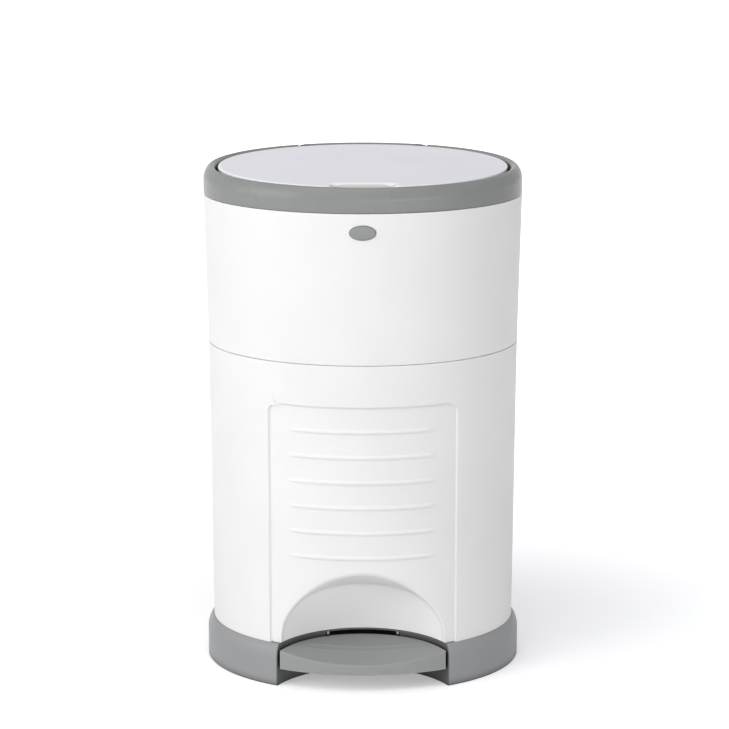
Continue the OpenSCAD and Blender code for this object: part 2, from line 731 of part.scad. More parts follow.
// ---------------------------------------------------------------- lid
module lid() {
  skirt_z = lid_z - 7.2;
  under_z = lid_z - lid_skin;
  block_x = [38, 46];
  color([0.96, 0.96, 0.97]) difference() {
    union() {
      difference() {
        oval_loft([[lid_a - 1.4, skirt_z, top_slope], [lid_a, skirt_z + 2, top_slope],
          [lid_a, lid_z - 1.6, top_slope], [lid_a - 0.9, lid_z - 0.5, top_slope],
          [lid_a - 3.5, lid_z, top_slope], [lid_a - 41, lid_z + 0.7, top_slope]]);
        oval_loft([[lid_a - 2.6, skirt_z - 1, top_slope], [lid_a - 2.6, under_z - 1.2, top_slope],
          [lid_a - 4.2, under_z, top_slope]]);
      }
      for (s = [-1, 1]) translate([s > 0 ? block_x[0] : -block_x[1], lid_hinge_y - 3.4,
        lid_hinge_z - 3]) cube([block_x[1] - block_x[0], 5.4, 4.4]);
      x_rod(-5, 5, rod_y, lug_z, 2 * lug_r);
      translate([-5, rod_y - lug_r, lug_z]) cube([10, 2 * lug_r, under_z - lug_z + 3]);
    }
    translate([0, -lid_a * oval_ratio, skirt_z - 5]) linear_extrude(20)
      polygon([for (p = oval_ring(notch_w / 2, notch_d, 0, 0)) [p[0], p[1]]]);
    x_rod(-lid_pin_out, lid_pin_out, lid_hinge_y, lid_hinge_z, lid_pin_d + 2 * pin_play);
  }
}

module lid_pins() {
  color([0.8, 0.8, 0.82]) {
    x_rod(-lid_pin_out, -lid_pin_in, lid_hinge_y, lid_hinge_z, lid_pin_d);
    x_rod(lid_pin_in, lid_pin_out, lid_hinge_y, lid_hinge_z, lid_pin_d);
  }
}

module lid_seal() {
  t = 3;
  z1 = lid_z - lid_skin;
  color([0.9, 0.88, 0.8]) difference() {
    loft([[funnel_a - 0.5, funnel_b - 0.5, funnel_y, funnel_z + 0.3, top_slope],
      [funnel_a - 0.5, funnel_b - 0.5, funnel_y, z1, top_slope]]);
    loft([[funnel_a - t, funnel_b - t, funnel_y, funnel_z - 1, top_slope],
      [funnel_a - t, funnel_b - t, funnel_y, z1 + 1, top_slope]]);
  }
}

// ---------------------------------------------------------------- release button
// Oval prism along Y round the button's axis, grown by grow
module button_prism(grow, y0, y1) {
  translate([0, y1, button_z]) rotate([90, 0, 0]) linear_extrude(y1 - y0)
    polygon([for (p = oval_ring(button_w / 2 + grow, button_h / 2 + grow, 0, 0)) [p[0], p[1]]]);
}

function button_wall_y() = -oval_ratio * body_a(button_z);

module release_button() {
  face_y = button_wall_y() - button_proud;
  back_y = button_wall_y() + wall + 0.9;
  color([0.6, 0.61, 0.61]) {
    button_prism(0, face_y, back_y);
    button_prism(2, back_y - eps, back_y + 2);
    translate([0, back_y + 2 - eps, button_z]) rotate([-90, 0, 0]) cylinder(r = 3, h = 12);
    translate([-5, back_y + 2, button_z]) cube([10, 3, 12]);
  }
}

module button_spring() {
  back_y = button_wall_y() + wall + 0.9;
  color([0.7, 0.7, 0.72]) translate([0, back_y + 5, button_z]) rotate([-90, 0, 0])
    coil(4, 0.8, 6, 10);
}

module button_bracket() {
  back_y = button_wall_y() + wall + 0.9;
  y0 = back_y + 15;
  color([0.93, 0.93, 0.94]) difference() {
    union() {
      translate([-19, y0, button_z - 12]) cube([38, 3, 24]);
      for (s = [-1, 1]) intersection() {
        translate([s > 0 ? 16 : -19, -far, button_z - 12]) cube([3, far + y0 + 1, 24]);
        body_solid(button_z - 12, button_z + 12, wall);
      }
    }
    translate([0, y0 - 1, button_z]) rotate([-90, 0, 0]) cylinder(r = 3.4, h = 10);
  }
}

// ---------------------------------------------------------------- refill
module refill_holder() {
  t = 3;
  color([0.9, 0.9, 0.92]) difference() {
    body_solid(holder_z - t, holder_z, wall + 0.4);
    translate([0, -throat_y, holder_z - t - 1])
      cylinder(r = cassette_bore_r, h = t + 2, $fn = 96);
    rod_slot(holder_z - t - 1, holder_z + 1);
  }
}

module refill_cassette() {
  t = 1.6;
  color([0.75, 0.83, 0.9]) translate([0, -throat_y, holder_z]) rotate_extrude($fn = 96)
    polygon([[cassette_bore_r, 0], [cassette_r, 0], [cassette_r, cassette_h],
      [cassette_r - t, cassette_h], [cassette_r - t, t], [cassette_bore_r + t, t],
      [cassette_bore_r + t, cassette_h - 6], [cassette_bore_r, cassette_h - 6]]);
}

module liner_film() {
  t = 1.6;
  color([0.85, 0.92, 0.97]) translate([0, -throat_y, holder_z + t]) difference() {
    cylinder(r = cassette_r - t - 0.3, h = cassette_h - 12, $fn = 96);
    translate([0, 0, -1]) cylinder(r = cassette_bore_r + t + 0.3, h = cassette_h, $fn = 96);
  }
}

base();
lower_housing();
upper_housing();
front_door();
door_hinge_pins();
door_latch();
door_strike();
cutter_body();
cutter_blade();
pedal();
pedal_pin();
pedal_spring();
lift_rod();
rod_channel();
base_screws();
collar();
collar_hinge_pins();
throat_funnel();
trap_door(-1);  // left_trap_door
trap_door(1);  // right_trap_door
trap_pins();
trap_springs();
lid();
lid_pins();
lid_seal();
release_button();
button_spring();
button_bracket();
refill_holder();
refill_cassette();
liner_film();
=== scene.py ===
"""Dressed scene of the nappy bin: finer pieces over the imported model, studio light and camera."""
import math

import bmesh
import bpy
from mathutils import Matrix, Vector

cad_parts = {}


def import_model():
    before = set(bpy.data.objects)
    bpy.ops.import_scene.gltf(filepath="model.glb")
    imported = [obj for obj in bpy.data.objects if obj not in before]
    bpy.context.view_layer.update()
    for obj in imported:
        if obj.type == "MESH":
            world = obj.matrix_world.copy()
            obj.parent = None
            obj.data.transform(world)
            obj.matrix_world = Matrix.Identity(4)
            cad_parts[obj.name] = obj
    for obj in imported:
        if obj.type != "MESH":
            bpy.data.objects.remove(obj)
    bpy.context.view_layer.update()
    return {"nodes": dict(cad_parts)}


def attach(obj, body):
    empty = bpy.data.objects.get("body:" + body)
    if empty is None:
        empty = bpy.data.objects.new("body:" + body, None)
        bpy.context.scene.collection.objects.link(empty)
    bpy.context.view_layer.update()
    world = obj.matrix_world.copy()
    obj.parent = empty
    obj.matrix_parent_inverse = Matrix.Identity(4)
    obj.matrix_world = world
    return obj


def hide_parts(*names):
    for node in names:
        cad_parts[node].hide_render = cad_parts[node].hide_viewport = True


# Sizes in millimetres; most of them repeat those of the part.
MM = 0.001
RATIO = 0.8
BASE_A = 156.5
FOOT_A = 150.3
SEAM_A = 152.5
COLLAR_A = 155.5
BASE_H = 42.0
BASE_WALL = 3.0
SHOULDER_Z = 29.0
SEAM_Z = 325.6
TOP_Z = 472.0
COLLAR_Z = 472.4
DECK_Z = 475.4
CREST_Z = 499.1
SLOPE = 0.025
WALL = 3.0
PANEL_X = 91.0
PANEL_Z = 285.3
PANEL_R = 10.0
PANEL_DEPTH = 1.7
STEP_W = 2.0
DOOR_T = 3.0
DOOR_Z = 42.4
DOOR_PLAY = 0.1
HINGE_X = -81.3
HINGE_Y = -94.731
SWING_R = 8.06
RIB_Z = 134.4
RIB_PITCH = 25.2
RIB_COUNT = 6
RIB_L = 144.0
RIB_H = 4.6
RIB_PROUD = 1.4
ARCH_X = 79.6
ARCH_H = 75.7
ROOF_BACK_H = 43.7
ROOF_BACK_Y = -49.6
RECESS_R = 94.0
RECESS_Y = -148.6
LEG_X = 89.6
PEDAL_R = 91.5
PEDAL_A = 156.1
PEDAL_Z = 17.5
DISH_Z = 27.8
DISH_R = 540.0
TREAD_SLOPE = 8.0
PEDAL_X = 80.9
SLOT_X = 36.5
SLOT_FRONT = -63.0
SLOT_BACK = -40.0
SLOT_LOW = 11.5
SLOT_TOP = 40.5
ARM_X = 34.0
ARM_TOP = 27.0
PIVOT_Y = -20.0
PIVOT_Z = 20.0
ROD_Y = 92.5
COLLAR_HINGE_Y = 118.0
COLLAR_HINGE_Z = 470.0
ROD_SLOT_Y = COLLAR_HINGE_Y - 35.9
KNUCKLE_R = 6.0
LID_A = 141.0
LID_Z = 498.78
LID_SKIN = 3.0
LID_EDGE = 3.5
LID_HINGE_Y = 106.0
LID_HINGE_Z = LID_Z + SLOPE * LID_HINGE_Y - 2.65
LUG_DROP = 4.2
NOTCH_X = 34.0
NOTCH_D = 9.0
SCOOP_Y = -93.0
SCOOP_D = 2.6
THROAT_R = 64.0
THROAT_Y = -14.0
FUNNEL_A = 130.0
FUNNEL_B = 90.0
FUNNEL_Y = -12.0
FUNNEL_Z = 488.6
TRAP_X = 70.0
TRAP_Z = 467.5
BUTTON_X = 12.25
BUTTON_R = 6.75
BUTTON_Z = 454.0
BUTTON_PROUD = 1.2

# Front patches of the two housings
EDGE_X = 97.0
WINDOW_Z = 292.0

# Faces round each closed oval
RING_COUNT = 192
FUNNEL_COUNT = 160
LID_COUNT = 360
BUTTON_COUNT = 72

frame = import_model()


# ---------------------------------------------------------------- helpers
def spread(start, end, count):
    """Evenly spaced numbers from start to end, both included."""
    return [start + (end - start) * i / count for i in range(count + 1)]


def chain(*parts):
    """Joins lists of numbers that share their end points."""
    numbers = list(parts[0])
    for part in parts[1:]:
        numbers += part[1:]
    return numbers


def both_sides(near, far):
    """Spans (x0, x1) to the left and to the right of the middle."""
    return ((-far, -near), (near, far))


def smooth(value, low, high):
    """0 below low, 1 above high and a soft ramp between."""
    t = min(1.0, max(0.0, (value - low) / (high - low)))
    return t * t * (3 - 2 * t)


def bezier(p0, p1, p2, t):
    """Point of a quadratic curve."""
    return tuple((1 - t) ** 2 * a + 2 * t * (1 - t) * b + t * t * c for a, b, c in zip(p0, p1, p2))


def mix(p, q, t):
    """Point between p and q."""
    return tuple(a + (b - a) * t for a, b in zip(p, q))


def body_a(z):
    """Half width of the housings at a height."""
    if z < SEAM_Z:
        return FOOT_A + (SEAM_A - FOOT_A) * (z - BASE_H) / (SEAM_Z - BASE_H)
    return SEAM_A + (COLLAR_A - SEAM_A) * (z - SEAM_Z) / (TOP_Z - SEAM_Z)


def front_point(x, z, depth=0.0):
    """Point of the housings' front, pulled in by depth."""
    a = body_a(z) - depth
    b = body_a(z) * RATIO - depth
    return (x, -b * math.sqrt(1 - (x / a) ** 2), z)


def round_point(u, z, depth=0.0):
    """Wall point; u runs from the front patch's right edge, 0, round the back to its left, 1."""
    a = body_a(z) - depth
    b = body_a(z) * RATIO - depth
    edge = math.acos(EDGE_X / a)
    angle = -edge + u * (math.pi + 2 * edge)
    return (a * math.cos(angle), b * math.sin(angle), z)


def oval_outline(u, v, a, b, count):
    """Closed oval of (u, v) points round a centre."""
    angles = [2 * math.pi * i / count for i in range(count)]
    return [(u + a * math.cos(t), v + b * math.sin(t)) for t in angles]


def oval_row(a, b, z, count, y=0.0, slope=0.0):
    """Closed oval of points, z high at the middle axis and sloping up to the back."""
    return [(px, py, z + slope * py) for px, py in oval_outline(0.0, y, a, b, count)]


def face_middle(p, q):
    """(x, z) halfway between two opposite corners of a face."""
    return (p[0] + q[0]) / 2, (p[2] + q[2]) / 2


class Shape:
    """Points and faces of one piece, in millimetres."""

    def __init__(self):
        self.points = []
        self.faces = []

    def row(self, points):
        """Adds points and gives their numbers."""
        start = len(self.points)
        self.points += [tuple(p) for p in points]
        return list(range(start, len(self.points)))

    def strip(self, a, b, closed=False, skip=None):
        """Faces between two rows, apart from those that skip picks."""
        for i in range(len(a) if closed else len(a) - 1):
            j = (i + 1) % len(a)
            if skip is None or not skip(self.points[a[i]], self.points[b[j]]):
                self.faces.append((a[i], a[j], b[j], b[i]))

    def grid(self, rows, closed=False, skip=None):
        """Rows of points with faces from each row to the next."""
        ids = [self.row(r) for r in rows]
        for a, b in zip(ids, ids[1:]):
            self.strip(a, b, closed, skip)
        return ids

    def cap(self, ids):
        """One face over a closed row."""
        self.faces.append(tuple(ids))

    def tube(self, rows):
        """Closed rows joined, the last one to the first."""
        ids = self.grid(rows, closed=True)
        self.strip(ids[-1], ids[0], closed=True)

    def solid_rows(self, rows):
        """Closed rows joined and capped at both ends."""
        ids = self.grid(rows, closed=True)
        self.cap(ids[0])
        self.cap(ids[-1])

    def prism_x(self, outline, x0, x1):
        """Outline of (y, z) points drawn out along X."""
        self.solid_rows([[(x, y, z) for y, z in outline] for x in (x0, x1)])

    def prism_z(self, outline, z0, z1):
        """Outline of (x, y) points drawn out along Z."""
        self.solid_rows([[(x, y, z) for x, y in outline] for z in (z0, z1)])

    def mesh(self):
        """Welded bmesh in metres."""
        bm = bmesh.new()
        verts = [bm.verts.new(Vector(p) * MM) for p in self.points]
        for face in self.faces:
            bm.faces.new([verts[i] for i in face])
        bmesh.ops.remove_doubles(bm, verts=bm.verts, dist=2e-6)
        bmesh.ops.dissolve_degenerate(bm, edges=bm.edges, dist=1e-6)
        bmesh.ops.recalc_face_normals(bm, faces=bm.faces)
        return bm


def thicken(bm, thickness, outward, fix=None):
    """Gives an open sheet an inner side, thickness mm behind it; outward says which side is out."""
    total = sum(f.normal.dot(Vector(outward(f.calc_center_median()))) * f.calc_area()
                for f in bm.faces)
    if total < 0:
        bmesh.ops.reverse_faces(bm, faces=bm.faces)
    bm.normal_update()
    outer_faces = list(bm.faces)
    rim = [e for e in bm.edges if e.is_boundary]
    inner = {}
    for v in list(bm.verts):
        point = (v.co - v.normal * thickness * MM) / MM
        if fix is not None:
            point = fix(v.co / MM, point)
        inner[v] = bm.verts.new(point * MM)
    edges = []
    for e in rim:
        loop = e.link_loops[0]
        edges.append((loop.vert, loop.link_loop_next.vert))
    for f in outer_faces:
        bm.faces.new([inner[v] for v in reversed(f.verts)])
    for a, b in edges:
        bm.faces.new([b, a, inner[a], inner[b]])
    return bm


def piece(name, bm, material, body, replaced=(), sharp=32.0):
    """Links a mesh as a piece that rides on a body."""
    data = bpy.data.meshes.new(name)
    bm.to_mesh(data)
    bm.free()
    data.polygons.foreach_set("use_smooth", [True] * len(data.polygons))
    data.set_sharp_from_angle(angle=math.radians(sharp))
    obj = bpy.data.objects.new(name, data)
    bpy.context.scene.collection.objects.link(obj)
    data.materials.append(material)
    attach(obj, body)
    if replaced:
        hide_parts(*replaced)
    return obj


def joined(*meshes):
    """One bmesh from several."""
    whole = bmesh.new()
    for bm in meshes:
        data = bpy.data.meshes.new("part")
        bm.to_mesh(data)
        bm.free()
        whole.from_mesh(data)
        bpy.data.meshes.remove(data)
    return whole


def cut(bm, *cutters):
    """Takes closed cutters out of a closed mesh."""
    scene = bpy.context.scene
    target = bpy.data.objects.new("cut_target", bpy.data.meshes.new("cut_target"))
    bm.to_mesh(target.data)
    bm.free()
    scene.collection.objects.link(target)
    tools = []
    for cutter in cutters:
        tool = bpy.data.objects.new("cutter", bpy.data.meshes.new("cutter"))
        cutter.to_mesh(tool.data)
        cutter.free()
        scene.collection.objects.link(tool)
        tools.append(tool)
        modifier = target.modifiers.new("cut", "BOOLEAN")
        modifier.operation = "DIFFERENCE"
        modifier.solver = "EXACT"
        modifier.object = tool
    graph = bpy.context.evaluated_depsgraph_get()
    result = bmesh.new()
    result.from_mesh(target.evaluated_get(graph).to_mesh())
    for obj in [target] + tools:
        data = obj.data
        bpy.data.objects.remove(obj)
        bpy.data.meshes.remove(data)
    return result


def block(x0, x1, y0, y1, z0, z1, bevel=0.0):
    """Box with rounded edges."""
    shape = Shape()
    shape.prism_z([(x0, y0), (x1, y0), (x1, y1), (x0, y1)], z0, z1)
    return rounded(shape.mesh(), bevel)


def rounded(bm, width, angle=40.0, segments=3):
    """Rounds the edges that are sharper than angle."""
    if width > 0:
        edges = [e for e in bm.edges
                 if e.is_manifold and e.calc_face_angle(0) > math.radians(angle)]
        bmesh.ops.bevel(bm, geom=edges, offset=width * MM, segments=segments, profile=0.5,
                        affect="EDGES", clamp_overlap=True)
    return bm


def rod_x(x0, x1, y, z, radius, count=40, bevel=0.4):
    """Round bar along X with rounded ends."""
    shape = Shape()
    shape.prism_x(oval_outline(y, z, radius, radius, count), x0, x1)
    return rounded(shape.mesh(), bevel)


def rod_z(x, y, z0, z1, radius, count=40, bevel=0.4):
    """Round bar along Z with rounded ends."""
    shape = Shape()
    shape.prism_z(oval_outline(x, y, radius, radius, count), z0, z1)
    return rounded(shape.mesh(), bevel)


def radial(point):
    """Direction away from the middle axis."""
    return (point.x, point.y, 0.0)


# ---------------------------------------------------------------- materials
WORN_COLOR = (0.9, 0.9, 0.9)


def new_material(name):
    """Material with its nodes, links and shader."""
    material = bpy.data.materials.new(name)
    material.use_nodes = True
    nodes = material.node_tree.nodes
    return material, nodes, material.node_tree.links, nodes["Principled BSDF"]


def noise(nodes, links, coordinates, scale, detail=3.0, roughness=0.55):
    """Noise texture in the object's own space."""
    node = nodes.new("ShaderNodeTexNoise")
    node.inputs["Scale"].default_value = scale
    node.inputs["Detail"].default_value = detail
    node.inputs["Roughness"].default_value = roughness
    links.new(coordinates.outputs["Object"], node.inputs["Vector"])
    return node


def ramp(nodes, links, source, low, high):
    """Maps a noise onto the span from low to high."""
    node = nodes.new("ShaderNodeMapRange")
    node.inputs["From Min"].default_value = 0.3
    node.inputs["From Max"].default_value = 0.7
    node.inputs["To Min"].default_value = low
    node.inputs["To Max"].default_value = high
    links.new(source.outputs[0], node.inputs["Value"])
    return node


def color_mix(nodes, a=None, b=None):
    """Mix node for two colours, of which either may be linked later."""
    node = nodes.new("ShaderNodeMix")
    node.data_type = "RGBA"
    for socket, color in (("A", a), ("B", b)):
        if color is not None:
            node.inputs[socket].default_value = (*color, 1)
    return node


def add_bump(nodes, links, shader, height, strength, distance):
    """Bumps the surface by a texture; distance is in metres."""
    node = nodes.new("ShaderNodeBump")
    node.inputs["Strength"].default_value = strength
    node.inputs["Distance"].default_value = distance
    links.new(height, node.inputs["Height"])
    links.new(node.outputs[0], shader.inputs["Normal"])


def scale_color(nodes, links, shader, share):
    """Scales the base colour by a share."""
    shaded = nodes.new("ShaderNodeVectorMath")
    shaded.operation = "SCALE"
    links.new(shader.inputs["Base Color"].links[0].from_socket, shaded.inputs[0])
    links.new(share, shaded.inputs["Scale"])
    links.new(shaded.outputs[0], shader.inputs["Base Color"])


def paint_light_by_radius(material, centre_y, stretch_y, inner, outer, share_inner):
    """Paints light and shade into the colour: scales it inside an oval round (0, centre_y), fading
    out between two radii; a share above 1 is painted light, below 1 painted shade.
    """
    nodes = material.node_tree.nodes
    links = material.node_tree.links
    place = nodes.new("ShaderNodeTexCoord")
    shift = nodes.new("ShaderNodeVectorMath")
    shift.inputs[1].default_value = (0, -centre_y * MM, 0)
    flat = nodes.new("ShaderNodeVectorMath")
    flat.operation = "MULTIPLY"
    flat.inputs[1].default_value = (1, stretch_y, 0)
    radius = nodes.new("ShaderNodeVectorMath")
    radius.operation = "LENGTH"
    share = nodes.new("ShaderNodeMapRange")
    share.inputs["From Min"].default_value = inner * MM
    share.inputs["From Max"].default_value = outer * MM
    share.inputs["To Min"].default_value = share_inner
    links.new(place.outputs["Object"], shift.inputs[0])
    links.new(shift.outputs[0], flat.inputs[0])
    links.new(flat.outputs[0], radius.inputs[0])
    links.new(radius.outputs["Value"], share.inputs["Value"])
    scale_color(nodes, links, nodes["Principled BSDF"], share.outputs[0])


def plastic(name, color, roughness, grain=0.25, grain_scale=1500.0, coat=0.0, shift=0.02, wear=0.06,
            painted_side_highlight=None, painted_crevice_shade=0.0, specular=0.35):
    """Moulded plastic with a fine grain, faint clouding, uneven gloss and paler worn edges; a given
    side colour is a painted highlight on faces that don't point up, and crevices can take painted
    shade.
    """
    material, nodes, links, shader = new_material(name)
    coordinates = nodes.new("ShaderNodeTexCoord")
    cloud = noise(nodes, links, coordinates, 9.0)
    speckle = noise(nodes, links, coordinates, 700.0, 2.0)
    clouded = color_mix(nodes, [c * (1 - shift) for c in color],
                        [min(1.0, c * (1 + shift)) for c in color])
    links.new(ramp(nodes, links, cloud, 0.0, 1.0).outputs[0], clouded.inputs["Factor"])
    speckled = color_mix(nodes)
    speckled.blend_type = "MULTIPLY"
    speckled.inputs["Factor"].default_value = 1.0
    links.new(clouded.outputs["Result"], speckled.inputs["A"])
    gray = nodes.new("ShaderNodeCombineColor")
    fleck = ramp(nodes, links, speckle, 0.985, 1.0)
    for channel in ("Red", "Green", "Blue"):
        links.new(fleck.outputs[0], gray.inputs[channel])
    links.new(gray.outputs[0], speckled.inputs["B"])
    geometry = nodes.new("ShaderNodeNewGeometry")
    edge = nodes.new("ShaderNodeMapRange")
    edge.inputs["From Min"].default_value = 0.53
    edge.inputs["From Max"].default_value = 0.62
    edge.inputs["To Max"].default_value = wear
    links.new(geometry.outputs["Pointiness"], edge.inputs["Value"])
    worn = color_mix(nodes, b=WORN_COLOR)
    links.new(edge.outputs[0], worn.inputs["Factor"])
    links.new(speckled.outputs["Result"], worn.inputs["A"])
    links.new(worn.outputs["Result"], shader.inputs["Base Color"])
    # Painted highlight: faces that don't point straight up, such as the lid's rounded rim, take the
    # paler side colour.
    if painted_side_highlight:
        split = nodes.new("ShaderNodeSeparateXYZ")
        links.new(coordinates.outputs["Normal"], split.inputs[0])
        upward = nodes.new("ShaderNodeMapRange")
        upward.inputs["From Min"].default_value = 0.955
        upward.inputs["From Max"].default_value = 0.997
        links.new(split.outputs["Z"], upward.inputs["Value"])
        side_lit = color_mix(nodes, a=painted_side_highlight)
        links.new(upward.outputs[0], side_lit.inputs["Factor"])
        links.new(worn.outputs["Result"], side_lit.inputs["B"])
        links.new(side_lit.outputs["Result"], shader.inputs["Base Color"])
    # Painted shade: the colour is darkened where ambient occlusion finds crevices and narrow gaps.
    if painted_crevice_shade:
        hollow = nodes.new("ShaderNodeAmbientOcclusion")
        hollow.inputs["Distance"].default_value = 0.014
        shade_share = nodes.new("ShaderNodeMapRange")
        shade_share.inputs["From Min"].default_value = 0.25
        shade_share.inputs["From Max"].default_value = 0.8
        shade_share.inputs["To Min"].default_value = 1 - painted_crevice_shade
        links.new(hollow.outputs["AO"], shade_share.inputs["Value"])
        scale_color(nodes, links, shader, shade_share.outputs[0])
    smear = noise(nodes, links, coordinates, 22.0, 4.0)
    links.new(ramp(nodes, links, smear, roughness - 0.05, roughness + 0.05).outputs[0],
              shader.inputs["Roughness"])
    texture = noise(nodes, links, coordinates, grain_scale, 2.0)
    add_bump(nodes, links, shader, texture.outputs[0], grain, 0.00003)
    shader.inputs["Coat Weight"].default_value = coat
    shader.inputs["Specular IOR Level"].default_value = specular
    shader.inputs["Coat Roughness"].default_value = 0.12
    return material


def metal(name, color, roughness):
    """Drawn steel with fine scratches."""
    material, nodes, links, shader = new_material(name)
    coordinates = nodes.new("ShaderNodeTexCoord")
    scratch = noise(nodes, links, coordinates, 600.0, 5.0, 0.7)
    tint = color_mix(nodes, [c * 0.85 for c in color], color)
    links.new(ramp(nodes, links, scratch, 0.0, 1.0).outputs[0], tint.inputs["Factor"])
    links.new(tint.outputs["Result"], shader.inputs["Base Color"])
    links.new(ramp(nodes, links, scratch, roughness - 0.08, roughness + 0.1).outputs[0],
              shader.inputs["Roughness"])
    add_bump(nodes, links, shader, scratch.outputs[0], 0.2, 0.00002)
    shader.inputs["Metallic"].default_value = 1.0
    return material


def film_material():
    """Pleated plastic film of the refill."""
    material, nodes, links, shader = new_material("film")
    coordinates = nodes.new("ShaderNodeTexCoord")
    pleats = nodes.new("ShaderNodeTexWave")
    pleats.bands_direction = "Z"
    pleats.inputs["Scale"].default_value = 120.0
    pleats.inputs["Distortion"].default_value = 3.0
    pleats.inputs["Detail"].default_value = 2.0
    links.new(coordinates.outputs["Object"], pleats.inputs["Vector"])
    tint = color_mix(nodes, (0.62, 0.74, 0.82), (0.8, 0.88, 0.93))
    links.new(pleats.outputs[0], tint.inputs["Factor"])
    links.new(tint.outputs["Result"], shader.inputs["Base Color"])
    add_bump(nodes, links, shader, pleats.outputs[0], 0.6, 0.0004)
    shader.inputs["Roughness"].default_value = 0.3
    return material


MATERIALS = {
    "white_plastic": plastic("white_plastic", (0.715, 0.708, 0.703), 0.5),
    # Painted highlight: the lid's rim and sides are paler than its top.
    "lid_plastic": plastic("lid_plastic", (0.665, 0.655, 0.72), 0.2, grain=0.05,
                           painted_side_highlight=(0.86, 0.855, 0.87)),
    # Painted shade: the base is darkened strongly in its crevices and gaps.
    "base_grey": plastic("base_grey", (0.262, 0.267, 0.268), 0.42, wear=0.1, specular=0.2,
                         painted_crevice_shade=0.85),
    "collar_grey": plastic("collar_grey", (0.22, 0.231, 0.22), 0.3, coat=0.08, wear=0.04,
                           specular=0.12),
    # Painted shade: the pedal is darkened a little in its crevices and gaps.
    "pedal_grey": plastic("pedal_grey", (0.265, 0.271, 0.268), 0.4, wear=0.1, painted_crevice_shade=0.35,
                          specular=0.2),
    "button_grey": plastic("button_grey", (0.238, 0.243, 0.243), 0.4, wear=0.05, specular=0.25),
    "inner_plastic": plastic("inner_plastic", (0.7, 0.7, 0.71), 0.5),
    "steel": metal("steel", (0.62, 0.62, 0.64), 0.3),
    "seal": plastic("seal", (0.68, 0.62, 0.57), 0.6, grain=0.4),
    "cassette": plastic("cassette", (0.42, 0.56, 0.7), 0.4),
    "film": film_material(),
}
# Painted shade: the base is darker on its wall in the toe recess, standing in for the shade in the
# gap behind the pedal.
# Painted light: the white plastic is paler well behind the outer wall, so in the toe recess and
# inside the bin, standing in for light on the recess's roof.
paint_light_by_radius(MATERIALS["base_grey"], RECESS_Y, 1.0, inner=RECESS_R + 0.5,
                outer=RECESS_R + 1.4, share_inner=0.4)
paint_light_by_radius(MATERIALS["white_plastic"], 0.0, 1.25, inner=139.0, outer=147.0, share_inner=1.14)


# ---------------------------------------------------------------- lower housing
def window_point(x, z, inset):
    """Point of the panel's outline, pulled in by inset, for a point of the patch's border."""
    radius = PANEL_R - inset
    centre_x = PANEL_X - PANEL_R
    centre_z = PANEL_Z - PANEL_R
    side = math.copysign(1, x)
    if abs(x) == EDGE_X:
        if z <= centre_z:
            return (side * (PANEL_X - inset), z)
        angle = math.pi / 4 * (z - centre_z) / (WINDOW_Z - centre_z)
    else:
        if abs(x) <= centre_x:
            return (x, PANEL_Z - inset)
        angle = math.pi / 2 - math.pi / 4 * (abs(x) - centre_x) / (EDGE_X - centre_x)
    return (side * (centre_x + radius * math.cos(angle)), centre_z + radius * math.sin(angle))


def clear_of_swing(outer, point):
    """Keeps the housing's inner side out of the door's hinge edge."""
    dx = point.x - HINGE_X
    dy = point.y - HINGE_Y
    distance = math.hypot(dx, dy)
    if outer.y < 0 and distance < SWING_R and outer.z < PANEL_Z:
        point.x = HINGE_X + dx / distance * SWING_R
        point.y = HINGE_Y + dy / distance * SWING_R
    return point


def crescent(a, radius, trim=0.0):
    """Oval outline less the toe's circle, from the right corner round the back."""
    low, high = 0.0, radius
    for _ in range(50):
        x = (low + high) / 2
        inside = RECESS_Y + math.sqrt(radius ** 2 - x ** 2) > -RATIO * math.sqrt(a ** 2 - x ** 2)
        low, high = (x, high) if inside else (low, x)
    corner = (low, RECESS_Y + math.sqrt(radius ** 2 - low ** 2))
    start = math.acos(low / a)
    step = trim / 120.0
    oval = [(a * math.cos(t), a * RATIO * math.sin(t))
            for t in spread(-start + step, math.pi + start - step, 150)]
    flank = spread(-low + trim * 0.7, -SLOT_X, 16)
    arc_x = chain(flank, spread(-SLOT_X, SLOT_X, 24), [-x for x in reversed(flank)])
    arc = [(x, RECESS_Y + math.sqrt(radius ** 2 - x ** 2)) for x in arc_x]
    if trim == 0.0:
        return oval + arc[1:-1]
    left = (-corner[0], corner[1])
    turn_left = [bezier(oval[-1], left, arc[0], t) for t in (0.25, 0.5, 0.75)]
    turn_right = [bezier(arc[-1], corner, oval[0], t) for t in (0.25, 0.5, 0.75)]
    return oval + turn_left + arc + turn_right


